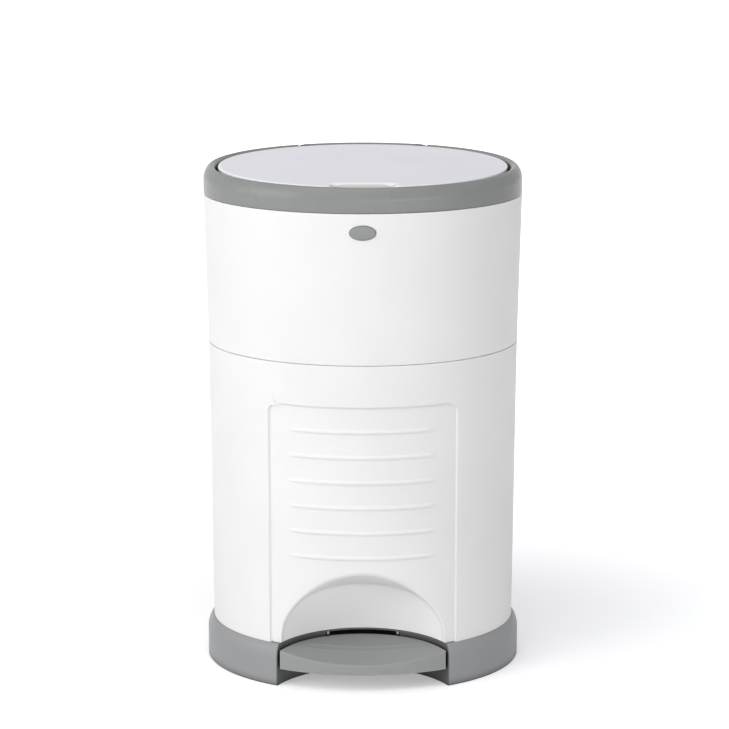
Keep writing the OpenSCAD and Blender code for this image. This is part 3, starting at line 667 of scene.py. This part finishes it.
def lower_housing():
    """White shell with the door's opening, its floor and the screw bosses."""
    shape = Shape()
    centre_x = PANEL_X - PANEL_R
    centre_z = PANEL_Z - PANEL_R
    side_z = chain(spread(BASE_H, centre_z, 36), spread(centre_z, WINDOW_Z, 8))
    top_x = chain(spread(-EDGE_X, -centre_x, 8), spread(-centre_x, centre_x, 60),
                  spread(centre_x, EDGE_X, 8))
    border = ([(-EDGE_X, z) for z in side_z] + [(x, WINDOW_Z) for x in top_x[1:-1]]
              + [(EDGE_X, z) for z in reversed(side_z)])
    rows = []
    for t in (0.0, 0.3, 0.6, 0.85, 1.0):
        rows.append([front_point(*mix(p, window_point(*p, -0.8), t)) for p in border])
    for inset in spread(-0.4, STEP_W - 0.25, 12):
        depth = PANEL_DEPTH * smooth(inset, -0.4, STEP_W - 0.25)
        rows.append([front_point(*window_point(*p, inset), depth) for p in border])
    rows.append([front_point(*window_point(*p, STEP_W - 0.03), PANEL_DEPTH) for p in border])
    shape.grid(rows)
    top_z = [(z, 0.0) for z in spread(WINDOW_Z, SEAM_Z - 0.8, 8)]
    top_z += [(SEAM_Z - 0.3, 0.03), (SEAM_Z - 0.08, 0.12), (SEAM_Z, 0.26)]
    shape.grid([[front_point(x, z, depth) for x in top_x] for z, depth in top_z])
    around = spread(0.0, 1.0, 120)
    wall_rows = [(z, 0.0) for z in side_z] + top_z[1:]
    shape.grid([[round_point(u, z, depth) for u in around] for z, depth in wall_rows])
    shell = thicken(shape.mesh(), WALL, radial, clear_of_swing)
    floor = Shape()
    floor.prism_z(crescent(FOOT_A - 1.0, RECESS_R + 3.4), BASE_H, BASE_H + 2.5)
    slot = block(-5.5, 5.5, ROD_Y - 3.5, ROD_Y + 3.5, BASE_H - 1, BASE_H + 4)
    behind_legs = block(-LEG_X, LEG_X, -130, -86, BASE_H - 1, BASE_H + 4)
    plate = cut(floor.mesh(), slot, behind_legs)
    bosses = [rod_z(x, y, BASE_H + 1, BASE_H + 12, 5) for x in (-112, 112) for y in (-50, 50)]
    socket = block(HINGE_X - 5, HINGE_X + 5, HINGE_Y - 6.5, HINGE_Y + 5, 284.2, 294.2, 1.2)
    return piece("lower_shell", joined(shell, plate, socket, *bosses), MATERIALS["white_plastic"],
                 "housing", ["lower_housing"])


# ---------------------------------------------------------------- upper housing
def upper_housing():
    """White shell with the button's hole and the hinge notch at the back."""
    shape = Shape()
    hole_x, hole_z0, hole_z1 = 24.0, BUTTON_Z - 15, BUTTON_Z + 15
    notch_x, notch_z = 52.0, COLLAR_HINGE_Z - KNUCKLE_R - 1.7
    front_x = chain(spread(-EDGE_X, -hole_x, 24), spread(-hole_x, hole_x, 32),
                    spread(hole_x, EDGE_X, 24))
    z_rows = [(SEAM_Z + 0.02, 1.3), (SEAM_Z + 0.36, 1.3), (SEAM_Z + 0.4, 0.4),
              (SEAM_Z + 0.55, 0.16), (SEAM_Z + 0.85, 0.03), (SEAM_Z + 1.3, 0.0)]
    z_rows += [(z, 0.0) for z in spread(SEAM_Z + 1.3, hole_z0, 26)[1:]]
    z_rows += [(z, 0.0) for z in spread(hole_z0, notch_z, 15)[1:]]
    z_rows += [(z, 0.0) for z in spread(notch_z, hole_z1, 5)[1:]]
    z_rows += [(TOP_Z - 0.8, 0.0), (TOP_Z - 0.25, 0.08), (TOP_Z, 0.35)]

    def in_hole(p, q):
        x, z = face_middle(p, q)
        return abs(x) < hole_x and hole_z0 < z < hole_z1

    def in_notch(p, q):
        x, z = face_middle(p, q)
        return abs(x) < notch_x - 1 and p[1] > 0 and z > notch_z

    shape.grid([[front_point(x, z, d) for x in front_x] for z, d in z_rows], skip=in_hole)
    a = body_a(notch_z)
    edge = math.acos(EDGE_X / a)
    first = (math.acos(notch_x / a) + edge) / (math.pi + 2 * edge)
    around = chain(spread(0, first, 52), spread(first, 1 - first, 22), spread(1 - first, 1, 52))
    shape.grid([[round_point(u, z, d) for u in around] for z, d in z_rows], skip=in_notch)
    inside_z = [z for z, _ in z_rows if hole_z0 - 0.01 <= z <= hole_z1 + 0.01]
    inside_x = [x for x in front_x if abs(x) <= hole_x + 0.01]
    border = ([(x, hole_z0) for x in inside_x] + [(hole_x, z) for z in inside_z[1:]]
              + [(x, hole_z1) for x in reversed(inside_x[:-1])]
              + [(-hole_x, z) for z in reversed(inside_z[1:-1])])

    def oval(p, grow):
        angle = math.atan2((p[1] - BUTTON_Z) / (hole_z1 - BUTTON_Z), p[0] / hole_x)
        return ((BUTTON_X + grow) * math.cos(angle), BUTTON_Z + (BUTTON_R + grow) * math.sin(angle))

    rows = [[front_point(*mix(p, oval(p, 1.6), t)) for p in border] for t in spread(0, 1, 6)]
    for grow, depth in ((1.1, 0.0), (0.75, 0.05), (0.5, 0.16), (0.36, 0.34), (0.3, 0.6)):
        rows.append([front_point(*oval(p, grow), depth) for p in border])
    shape.grid(rows, closed=True)
    shell = thicken(shape.mesh(), WALL, radial)
    parts = [shell]
    for x0, x1 in both_sides(20.0, 35.6):
        parts.append(rod_x(x0, x1, COLLAR_HINGE_Y, COLLAR_HINGE_Z, KNUCKLE_R, bevel=0.6))
        parts.append(block(x0, x1, COLLAR_HINGE_Y - KNUCKLE_R, COLLAR_HINGE_Y + 2.0,
                           COLLAR_HINGE_Z - 18, COLLAR_HINGE_Z, 0.8))
    return piece("upper_shell", joined(*parts), MATERIALS["white_plastic"], "housing",
                 ["upper_housing"])


# ---------------------------------------------------------------- front door
def rib_depth(x, z):
    """How far the ribs stand out of the panel at x and z."""
    taper = smooth(RIB_L / 2 - abs(x), 0.0, 9.0)
    half = RIB_H / 2
    for i in range(RIB_COUNT):
        away = abs(z - RIB_Z - i * RIB_PITCH)
        if away < half + 1:
            return RIB_PROUD * taper * (1 - smooth(away, half * 0.25, half + 0.4))
    return 0.0


def roof_h(y):
    """Height of the recess's roof above the base at y."""
    front_y = -FOOT_A * RATIO
    return ARCH_H + (ROOF_BACK_H - ARCH_H) * (y - front_y) / (ROOF_BACK_Y - front_y)


def roof_point(angle, y):
    """Point of the recess's roof."""
    return (ARCH_X * math.cos(angle), y, max(DOOR_Z, BASE_H + roof_h(y) * math.sin(angle)))


def front_door():
    """Recessed panel with six ribs and the toe recess, in one skin."""
    shape = Shape()
    edge_x = PANEL_X - STEP_W - DOOR_PLAY
    corner_r = PANEL_R - STEP_W - DOOR_PLAY
    corner_x = PANEL_X - PANEL_R
    corner_z = PANEL_Z - PANEL_R
    low_z = 126.0
    columns = chain(spread(-edge_x, -corner_x, 6), spread(-corner_x, corner_x, 90),
                    spread(corner_x, edge_x, 6))
    rib_rows = []
    for i in range(RIB_COUNT):
        z = RIB_Z + i * RIB_PITCH
        rib_rows += [z + step for step in (-3.2, -2.7, -2.25, -1.8, -1.35, -0.9, -0.45, 0.0,
                                           0.45, 0.9, 1.35, 1.8, 2.25, 2.7, 3.2)]
        if i < RIB_COUNT - 1:
            rib_rows += [z + step for step in (8.0, 12.6, 17.2)]
    z_rows = [low_z] + rib_rows + [268.0, 272.0, corner_z]
    rows = [[front_point(x, z, PANEL_DEPTH - rib_depth(x, z)) for x in columns] for z in z_rows]
    keep_x = corner_x - 6.0
    for i in range(1, 11):
        angle = math.pi / 2 * i / 10
        z = corner_z + corner_r * math.sin(angle)
        reach = corner_x + corner_r * math.cos(angle)
        row = []
        for x in columns:
            if abs(x) > keep_x:
                share = (abs(x) - keep_x) / (edge_x - keep_x)
                x = math.copysign(keep_x + share * (reach - keep_x), x)
            row.append(front_point(x, z, PANEL_DEPTH))
        rows.append(row)
    shape.grid(rows)

    side_z = spread(DOOR_Z, low_z, 34)
    border = ([(-edge_x, z) for z in side_z] + [(x, low_z) for x in columns[1:-1]]
              + [(edge_x, z) for z in reversed(side_z)])
    angles = [math.atan2((z - BASE_H) / (low_z - BASE_H), x / edge_x) for x, z in border]
    lines = []
    for (x, z), angle in zip(border, angles):
        arch_x = ARCH_X * math.cos(angle)
        front_y = front_point(arch_x, 80.0, PANEL_DEPTH)[1]
        back_y = max(front_y + 0.3, RECESS_Y + math.sqrt(RECESS_R ** 2 - arch_x ** 2))
        room = back_y - front_y
        rim = min(4.5, 0.45 * room)
        arch_z = max(DOOR_Z, BASE_H + roof_h(front_y) * math.sin(angle))
        corner = front_point(arch_x, arch_z, PANEL_DEPTH)
        grow = (rim * math.cos(angle), rim * math.sin(angle))
        outer = (arch_x + grow[0], max(DOOR_Z, arch_z + grow[1]))
        start = front_point(*outer, PANEL_DEPTH)
        line = [front_point(*mix((x, z), outer, t), PANEL_DEPTH) for t in spread(0, 1, 12)]
        behind = roof_point(angle, corner[1] + rim)
        line += [bezier(start, corner, behind, t) for t in spread(0, 1, 9)[1:]]
        back = roof_point(angle, back_y)
        turn = min(3.0, 0.4 * (room - rim), 0.4 * max(0.05, back[2] - DOOR_Z))
        before = roof_point(angle, back_y - turn)
        below = (arch_x, back_y, max(DOOR_Z, back[2] - turn))
        line += [mix(behind, before, t) for t in spread(0, 1, 10)[1:]]
        line += [bezier(before, back, below, t) for t in spread(0, 1, 5)[1:]]
        line += [mix(below, (arch_x, back_y, DOOR_Z), t) for t in spread(0, 1, 10)[1:]]
        lines.append(line)
    shape.grid([list(row) for row in zip(*lines)])

    skin = shape.mesh()
    # Evens out the narrow legs beside the recess, where the panel's points lie close together.
    legs = [v for v in skin.verts if 75 < abs(v.co.x) / MM < 87.5 and v.co.z / MM < 66]
    for _ in range(9):
        bmesh.ops.smooth_vert(skin, verts=legs, factor=0.5, use_axis_x=True, use_axis_y=True)
    shell = thicken(skin, DOOR_T - 0.2, lambda p: (0.0, -1.0, 0.0))
    parts = [shell]
    for z in (DOOR_Z, PANEL_Z - STEP_W - 12):
        toe_room = rod_z(0, RECESS_Y, DOOR_Z - 2, DOOR_Z + 20, RECESS_R + 1.0, count=240)
        barrel = rod_z(HINGE_X, HINGE_Y, z, z + 12, 3.8)
        bracket = block(HINGE_X - 1, HINGE_X + 5, HINGE_Y - 4.0, HINGE_Y, z, z + 12, 0.5)
        parts.append(cut(barrel, toe_room.copy()))
        parts.append(cut(bracket, toe_room))
    return piece("door_panel", joined(*parts), MATERIALS["white_plastic"], "front_door",
                 ["front_door"])


# ---------------------------------------------------------------- base
def shoulder_a(z):
    """Half width of the base at a height."""
    if z <= SHOULDER_Z:
        return BASE_A - 0.5 * (1 - smooth(z, 0.0, 0.8))
    power = 1.6
    share = (z - SHOULDER_Z) / (BASE_H - SHOULDER_Z)
    return FOOT_A + (BASE_A - FOOT_A) * max(0.0, 1 - share ** power) ** (1 / power)


def base():
    """Grey ring round the foot, with the slot for the pedal's arm."""
    shape = Shape()
    heights = [0.0, 0.3, 0.8, 2.0, 6.0, SLOT_LOW, 17.0, 23.0, SHOULDER_Z, 31.0, 33.0, 35.0, 37.0,
               38.5, 39.6, SLOT_TOP, 41.2, 41.6, 41.85, BASE_H]

    def in_slot(p, q):
        x, z = face_middle(p, q)
        return abs(x) < SLOT_X and SLOT_LOW < z < SLOT_TOP and SLOT_FRONT < p[1] < SLOT_BACK

    rows = []
    for z in heights:
        inset = 0.45 * smooth(z, 41.0, 42.0)
        rows.append([(x, y, z) for x, y in crescent(shoulder_a(z), RECESS_R + inset, 1.1)])
    ids = shape.grid(rows, closed=True, skip=in_slot)
    shape.cap(ids[-1])
    shell = thicken(shape.mesh(), BASE_WALL,
                    lambda p: (p.x, p.y, 0.02) if p.y > -0.08 else (0, 0, 1))
    parts = [shell]
    for x0, x1 in both_sides(ARM_X + 2, ARM_X + 7):
        parts.append(block(x0, x1, PIVOT_Y - 8, PIVOT_Y + 8, PIVOT_Z - 8, BASE_H - 2, 0.8))
    return piece("base_ring", joined(*parts), MATERIALS["base_grey"], "housing",
                 ["base"])


# ---------------------------------------------------------------- pedal
def pedal_top(x, y):
    """Height of the dished tread, which rises to the back."""
    slope = math.radians(TREAD_SLOPE)
    bow = DISH_R - math.sqrt(DISH_R ** 2 - x ** 2)
    along = (y + BASE_A * RATIO + bow * math.sin(slope)) / math.cos(slope)
    return DISH_Z + along * math.sin(slope) + bow * math.cos(slope)


def ridge_height(x, y):
    """Two low ridges across the tread, steep on their back sides."""
    height = 0.0
    for crest_y, bend, half in ((-94.2, 0.0005, 66.0), (-84.5, 0.0009, 57.0)):
        away = y - crest_y - bend * x ** 2
        rise = 1 - smooth(-away, 0.0, 5.0) if away < 0 else 1 - smooth(away, 0.0, 1.8)
        height = max(height, 0.6 * rise * smooth(half + 4 - abs(x), 0.0, 18.0))
    return height


def pedal():
    """Dished tread on its arm."""
    shape = Shape()
    rows = []
    for x in spread(-PEDAL_X, PEDAL_X, 106):
        front = -RATIO * math.sqrt(PEDAL_A ** 2 - x ** 2)
        back = RECESS_Y + math.sqrt(PEDAL_R ** 2 - x ** 2)
        depth = back - front
        edge = min(1.7, 0.3 * depth)
        low = min(0.6, 0.3 * depth)
        front_top = pedal_top(x, front)
        back_top = pedal_top(x, back)
        loop = [(front + low, PEDAL_Z), (front, PEDAL_Z + low)]
        loop += [(front, z) for z in spread(PEDAL_Z + low, front_top - edge, 4)[1:]]
        start = (front, front_top - edge)
        end = (front + edge, pedal_top(x, front + edge))
        loop += [bezier(start, (front, front_top), end, t) for t in spread(0, 1, 6)[1:]]
        for v in spread(front + edge, back - edge, 84)[1:]:
            fade = smooth(back - v, 2.0, 7.0) * smooth(v - front, 2.0, 6.0)
            loop.append((v, pedal_top(x, v) + fade * ridge_height(x, v)))
        start = (back - edge, pedal_top(x, back - edge))
        loop += [bezier(start, (back, back_top), (back, back_top - edge), t)
                 for t in spread(0, 1, 4)[1:]]
        loop += [(back, PEDAL_Z + low), (back - low, PEDAL_Z)]
        rows.append([(x, y, z) for y, z in loop])
    shape.solid_rows(rows)
    tread = shape.mesh()
    inner_y = RECESS_R + RECESS_Y
    outline = [(inner_y - 8, PEDAL_Z), (inner_y - 8, ARM_TOP), (PIVOT_Y - 10, ARM_TOP),
               (PIVOT_Y + 6, 26.0), (ROD_Y, 12.0), (ROD_Y + 4, 9.0), (ROD_Y + 4, 5.0),
               (ROD_Y, 2.5), (PIVOT_Y, 13.0)]
    arm = Shape()
    arm.prism_x(outline, -ARM_X, ARM_X)
    wells = [block(x - 13, x + 13, PIVOT_Y + 14, PIVOT_Y + 74, -1, 39) for x in (-21, 21)]
    arm_mesh = rounded(cut(arm.mesh(), *wells), 0.5, segments=2)
    return piece("pedal_tread", joined(tread, arm_mesh), MATERIALS["pedal_grey"], "pedal",
                 ["pedal"])


# ---------------------------------------------------------------- collar
def collar():
    """Grey ring round the lid, its deck and the hinges that it carries."""
    shape = Shape()
    side_z = 487.0
    crest_a = 148.4
    profile = [(COLLAR_A - 4, COLLAR_Z), (COLLAR_A - 0.5, COLLAR_Z),
               (COLLAR_A - 0.12, COLLAR_Z + 0.12), (COLLAR_A, COLLAR_Z + 0.5)]
    profile += [(COLLAR_A, z) for z in spread(COLLAR_Z + 0.5, side_z, 6)[1:]]
    power = 1.7
    for angle in spread(0, math.pi / 2, 16)[1:]:
        share = math.sin(angle) ** (2 / power)
        width = max(0.0, math.cos(angle)) ** (2 / power)
        profile.append((crest_a + (COLLAR_A - crest_a) * width,
                        side_z + (CREST_Z - side_z) * share))
    in_a = LID_A + 3.0
    profile += [(147.6, 498.98), (146.8, 498.6), (145.6, 498.0), (144.7, 497.5), (144.25, 497.1),
                (in_a, 496.5), (in_a, 494.0), (in_a, 492.0), (in_a + 2, 490.0),
                (COLLAR_A - 4, 486.0), (COLLAR_A - 4, DECK_Z)]
    rows = []
    for a, z in profile:
        slope = SLOPE * smooth(z, COLLAR_Z, side_z)
        rows.append(oval_row(a, a * RATIO, z, RING_COUNT, slope=slope))
    shape.tube(rows)
    pockets = [block(x0, x1, LID_HINGE_Y - 4.6, LID_HINGE_Y + 3.6, CREST_Z - 7, CREST_Z + 13)
               for x0, x1 in both_sides(49, 65)]
    ring = cut(shape.mesh(), *pockets)
    deck = Shape()
    hole = oval_row(THROAT_R, THROAT_R, DECK_Z, RING_COUNT, y=THROAT_Y)
    hole_low = [(x, y, COLLAR_Z) for x, y, _ in hole]
    rim = oval_row(COLLAR_A - 3.0, (COLLAR_A - 3.0) * RATIO, DECK_Z, RING_COUNT)
    rim_low = [(x, y, COLLAR_Z) for x, y, _ in rim]
    levels = [[mix(p, q, t) for p, q in zip(rim, hole)] for t in spread(0, 1, 6)]
    levels += [[mix(p, q, t) for p, q in zip(hole_low, rim_low)] for t in spread(0, 1, 6)]
    deck.tube(levels)
    slot = block(-7, 7, ROD_SLOT_Y, ROD_Y + 4.5, COLLAR_Z - 1, COLLAR_Z + 5)
    plate = cut(deck.mesh(), slot)
    parts = [ring, plate]
    for side, (x0, x1) in zip((-1, 1), both_sides(36.0, 50.0)):
        parts.append(rod_x(x0, x1, COLLAR_HINGE_Y, COLLAR_HINGE_Z, KNUCKLE_R, bevel=0.6))
        for end in (-1, 1):
            y = THROAT_Y + end * 15
            parts.append(block(side * TRAP_X - 3, side * TRAP_X + 3, y - 2, y + 2, TRAP_Z - 3,
                               COLLAR_Z + 1, 0.6))
    tab_y = front_point(0, BUTTON_Z)[1] + WALL + 0.4
    parts.append(block(-6, 6, tab_y, tab_y + 2.1, COLLAR_Z - 9, COLLAR_Z + 1, 0.4))
    return piece("collar_ring", joined(*parts), MATERIALS["collar_grey"], "collar",
                 ["collar"])


def throat_funnel():
    """Cone from the lid's seal down to the throat."""
    shape = Shape()

    def ring(t, inset):
        low = oval_row(THROAT_R + 2 - inset, THROAT_R + 2 - inset, DECK_Z, FUNNEL_COUNT,
                       y=THROAT_Y)
        high = oval_row(FUNNEL_A - inset, FUNNEL_B - inset, FUNNEL_Z, FUNNEL_COUNT,
                        y=FUNNEL_Y, slope=SLOPE)
        return [mix(p, q, t) for p, q in zip(low, high)]

    outer = [ring(t, 0.0) for t in spread(0, 1, 10)]
    inner = [ring(t, 2.6) for t in spread(1, 0, 10)]
    lip = [(x, y, z + 0.25) for x, y, z in ring(1, 1.3)]
    shape.tube(outer + [lip] + inner)
    return piece("funnel_cone", shape.mesh(), MATERIALS["inner_plastic"], "collar",
                 ["throat_funnel"], sharp=50)


# ---------------------------------------------------------------- lid
def notch_cut(x):
    """How far the finger notch pulls the lid's front edge in."""
    return NOTCH_D * (1 - smooth(abs(x), NOTCH_X - 14, NOTCH_X + 1))


def scoop(x, y):
    """Depth of the lid's top below its plane in the finger notch."""
    across = 1 - smooth(abs(x), NOTCH_X - 10, NOTCH_X)
    return SCOOP_D * across * (1 - smooth(y, SCOOP_Y - 5, SCOOP_Y))


def lid_row(inset, drop, share=1.0):
    """Closed row of the lid, inset from its edge and shrunk by share."""
    row = []
    for x, y in oval_outline(0.0, 0.0, LID_A - inset, LID_A * RATIO - inset, LID_COUNT):
        if y < 0:
            y += notch_cut(x) * share ** 3
        x *= share
        y *= share
        row.append((x, y, LID_Z + SLOPE * y + drop - scoop(x, y)))
    return row


def lid():
    """Lid with its finger notch, hinge lugs and the lug that the rod pushes."""
    shape = Shape()
    rows = [lid_row(1.4, -7.2), lid_row(0.4, -6.5), lid_row(0.0, -5.4), lid_row(0.0, -3.5),
            lid_row(0.0, -1.8), lid_row(0.2, -1.1), lid_row(0.6, -0.6), lid_row(1.2, -0.25),
            lid_row(2.2, -0.06), lid_row(LID_EDGE, 0.0)]
    for share in chain(spread(1, 0.82, 20), spread(0.82, 0.0, 12))[1:]:
        rows.append(lid_row(LID_EDGE, 0.7 * smooth(1 - share, 0.0, 0.4), share))
    shape.grid(rows, closed=True)
    shell = thicken(shape.mesh(), LID_SKIN - 0.4, lambda p: (p.x, p.y, 1.0))
    parts = [shell]
    for x0, x1 in both_sides(38.0, 46.0):
        parts.append(block(x0, x1, LID_HINGE_Y - 3.4, LID_HINGE_Y + 2,
                           LID_HINGE_Z - 3, LID_HINGE_Z + 1.4, 0.5))
    lug_z = LID_HINGE_Z - LUG_DROP
    parts.append(rod_x(-5, 5, ROD_Y, lug_z, 3.0))
    parts.append(block(-5, 5, ROD_Y - 3, ROD_Y + 3, lug_z, LID_Z, 0.4))
    return piece("lid_cover", joined(*parts), MATERIALS["lid_plastic"], "lid",
                 ["lid"])


def notch_shade_sheet():
    """Cream sheet of painted warm shade in the finger notch, lying on the scooped part of the lid.
    """
    shape = Shape()
    reach = NOTCH_X - 3.0
    rows = []
    for t in spread(0, 1, 14):
        row = []
        for x in spread(-reach, reach, 72):
            edge_y = -RATIO * math.sqrt(LID_A ** 2 - x ** 2) + notch_cut(x) + 2.6
            start_y = SCOOP_Y - 2.7 - 4.2 * smooth(abs(x), reach - 12, reach)
            y = start_y + t * (min(start_y - 0.6, edge_y) - start_y)
            row.append((x, y, LID_Z + SLOPE * y - scoop(x, y) + 0.32))
        rows.append(row)
    shape.grid(rows)
    sheet = thicken(shape.mesh(), 0.3, lambda p: (0.0, 0.0, 1.0))
    return piece("notch_shade_sheet", sheet, MATERIALS["seal"], "lid")


def lid_seal():
    """Soft seal under the lid."""
    shape = Shape()
    rows = []
    for inset, z in ((0.5, FUNNEL_Z + 1.3), (1.0, FUNNEL_Z + 0.5), (1.75, FUNNEL_Z + 0.3),
                     (2.5, FUNNEL_Z + 0.5), (3.0, FUNNEL_Z + 1.3), (3.0, LID_Z - LID_SKIN),
                     (0.5, LID_Z - LID_SKIN)):
        rows.append(oval_row(FUNNEL_A - inset, FUNNEL_B - inset, z, FUNNEL_COUNT,
                             y=FUNNEL_Y, slope=SLOPE))
    shape.tube(rows)
    return piece("lid_gasket", shape.mesh(), MATERIALS["seal"], "lid", ["lid_seal"],
                 sharp=50)


# ---------------------------------------------------------------- release button
def release_button():
    """Oval button with its stem and hook."""
    shape = Shape()
    wall_y = front_point(0, BUTTON_Z)[1]
    face_y = wall_y - BUTTON_PROUD
    back_y = wall_y + WALL + 0.9

    def ring(inset, y):
        outline = oval_outline(0.0, BUTTON_Z, BUTTON_X - inset, BUTTON_R - inset, BUTTON_COUNT)
        return [(x, y, z) for x, z in outline]

    rows = [ring(-2.0, back_y + 2), ring(-2.0, back_y), ring(0.0, back_y), ring(0.0, face_y + 1.1)]
    rows += [ring(0.12, face_y + 0.75), ring(0.45, face_y + 0.42), ring(0.95, face_y + 0.25)]
    rows += [ring(BUTTON_R * t, face_y + 0.25 * (1 - smooth(t, 0.1, 0.9)))
             for t in spread(0.2, 1.0, 6)]
    shape.solid_rows(rows)
    stem = rod_x(0, 12, 0, 0, 3.0)
    turn = Matrix.Rotation(math.pi / 2, 3, "Z")
    bmesh.ops.rotate(stem, verts=stem.verts, cent=(0, 0, 0), matrix=turn)
    bmesh.ops.translate(stem, verts=stem.verts, vec=Vector((0, back_y + 1.8, BUTTON_Z)) * MM)
    hook = block(-5, 5, back_y + 2, back_y + 5, BUTTON_Z, BUTTON_Z + 12, 0.5)
    return piece("button_cap", joined(shape.mesh(), stem, hook), MATERIALS["button_grey"],
                 "release_button", ["release_button"])


# ---------------------------------------------------------------- stage
def sight_rays(nodes, links):
    """1 for the rays that see the background: from the camera, mirrored or let through."""
    path = nodes.new("ShaderNodeLightPath")
    total = path.outputs["Is Camera Ray"]
    for kind in ("Is Transmission Ray", "Is Glossy Ray"):
        either = nodes.new("ShaderNodeMath")
        either.operation = "MAXIMUM"
        links.new(total, either.inputs[0])
        links.new(path.outputs[kind], either.inputs[1])
        total = either.outputs[0]
    return total


def stage():
    """Pale floor that fades to white away from the bin and keeps its shadow."""
    floor = bpy.data.meshes.new("floor")
    size = 14.0
    floor.from_pydata([(-size, -size, 0), (size, -size, 0), (size, size, 0), (-size, size, 0)], [],
                      [(0, 1, 2, 3)])
    obj = bpy.data.objects.new("floor", floor)
    bpy.context.scene.collection.objects.link(obj)
    material, nodes, links, shader = new_material("floor")
    shader.inputs["Base Color"].default_value = (0.85, 0.85, 0.86, 1)
    shader.inputs["Roughness"].default_value = 0.9
    shader.inputs["Specular IOR Level"].default_value = 0.1
    glow = nodes.new("ShaderNodeEmission")
    place = nodes.new("ShaderNodeNewGeometry")
    away = nodes.new("ShaderNodeVectorMath")
    away.operation = "LENGTH"
    rise = nodes.new("ShaderNodeMapRange")
    rise.interpolation_type = "SMOOTHSTEP"
    rise.inputs["From Min"].default_value = 0.2
    rise.inputs["From Max"].default_value = 1.1
    rise.inputs["To Min"].default_value = 0.32
    rise.inputs["To Max"].default_value = 1.0
    links.new(place.outputs["Position"], away.inputs[0])
    links.new(away.outputs["Value"], rise.inputs["Value"])
    links.new(rise.outputs[0], glow.inputs["Strength"])
    add = nodes.new("ShaderNodeAddShader")
    choose = nodes.new("ShaderNodeMixShader")
    output = nodes["Material Output"]
    links.new(shader.outputs[0], add.inputs[0])
    links.new(glow.outputs[0], add.inputs[1])
    links.new(sight_rays(nodes, links), choose.inputs[0])
    links.new(shader.outputs[0], choose.inputs[1])
    links.new(add.outputs[0], choose.inputs[2])
    links.new(choose.outputs[0], output.inputs["Surface"])
    floor.materials.append(material)


def world():
    """Soft even light, and white for the rays that see the background."""
    scene = bpy.context.scene
    scene.world = bpy.data.worlds.new("studio")
    scene.world.use_nodes = True
    nodes = scene.world.node_tree.nodes
    links = scene.world.node_tree.links
    background = nodes["Background"]
    background.inputs["Color"].default_value = (0.96, 0.97, 1.0, 1)
    background.inputs["Strength"].default_value = 0.46
    white = nodes.new("ShaderNodeBackground")
    white.inputs["Color"].default_value = (1, 1, 1, 1)
    choose = nodes.new("ShaderNodeMixShader")
    links.new(sight_rays(nodes, links), choose.inputs[0])
    links.new(background.outputs[0], choose.inputs[1])
    links.new(white.outputs[0], choose.inputs[2])
    links.new(choose.outputs[0], nodes["World Output"].inputs["Surface"])


def lamp(name, place, target, size, power):
    """White area lamp, in metres and watts, aimed at a target."""
    data = bpy.data.lights.new(name, "AREA")
    data.shape = "RECTANGLE"
    data.size, data.size_y = size
    data.energy = power
    obj = bpy.data.objects.new(name, data)
    obj.location = place
    obj.rotation_euler = (Vector(target) - Vector(place)).to_track_quat("-Z", "Y").to_euler()
    bpy.context.scene.collection.objects.link(obj)


def camera():
    """Camera at the photograph's viewing angle."""
    data = bpy.data.cameras.new("camera")
    data.lens = 129.5
    data.sensor_width = 36.0
    obj = bpy.data.objects.new("camera", data)
    place = Vector((0.00165, -2.5283, 0.9089))
    target = Vector((0.00165, 0.0, 0.2982))
    obj.location = place
    obj.rotation_euler = (target - place).to_track_quat("-Z", "Y").to_euler()
    bpy.context.scene.collection.objects.link(obj)
    bpy.context.scene.camera = obj


camera()
stage()
world()
lamp("key", (-3.0, -2.0, 1.3), (0, 0, 0.25), (2.0, 2.0), 57)
lamp("fill", (1.8, -3.0, 0.36), (0, 0, 0.2), (2.4, 0.6), 24)
lamp("front", (0.1, -3.5, 0.22), (0, 0, 0.1), (1.6, 0.36), 9)
lamp("left", (-3.2, -0.5, 0.9), (0, 0, 0.3), (1.0, 1.4), 9)
lamp("top", (-0.4, -1.3, 3.0), (0, 0, 0.3), (2.4, 2.0), 35)
lower_housing()
upper_housing()
front_door()
base()
pedal()
collar()
throat_funnel()
lid()
lid_seal()
notch_shade_sheet()
release_button()
for obj in frame["nodes"].values():
    for slot in obj.material_slots:
        slot_name = slot.material.name.split(".")[0]
        if slot_name in MATERIALS:
            slot.material = MATERIALS[slot_name]

bpy.context.scene.view_settings.view_transform = "Standard"
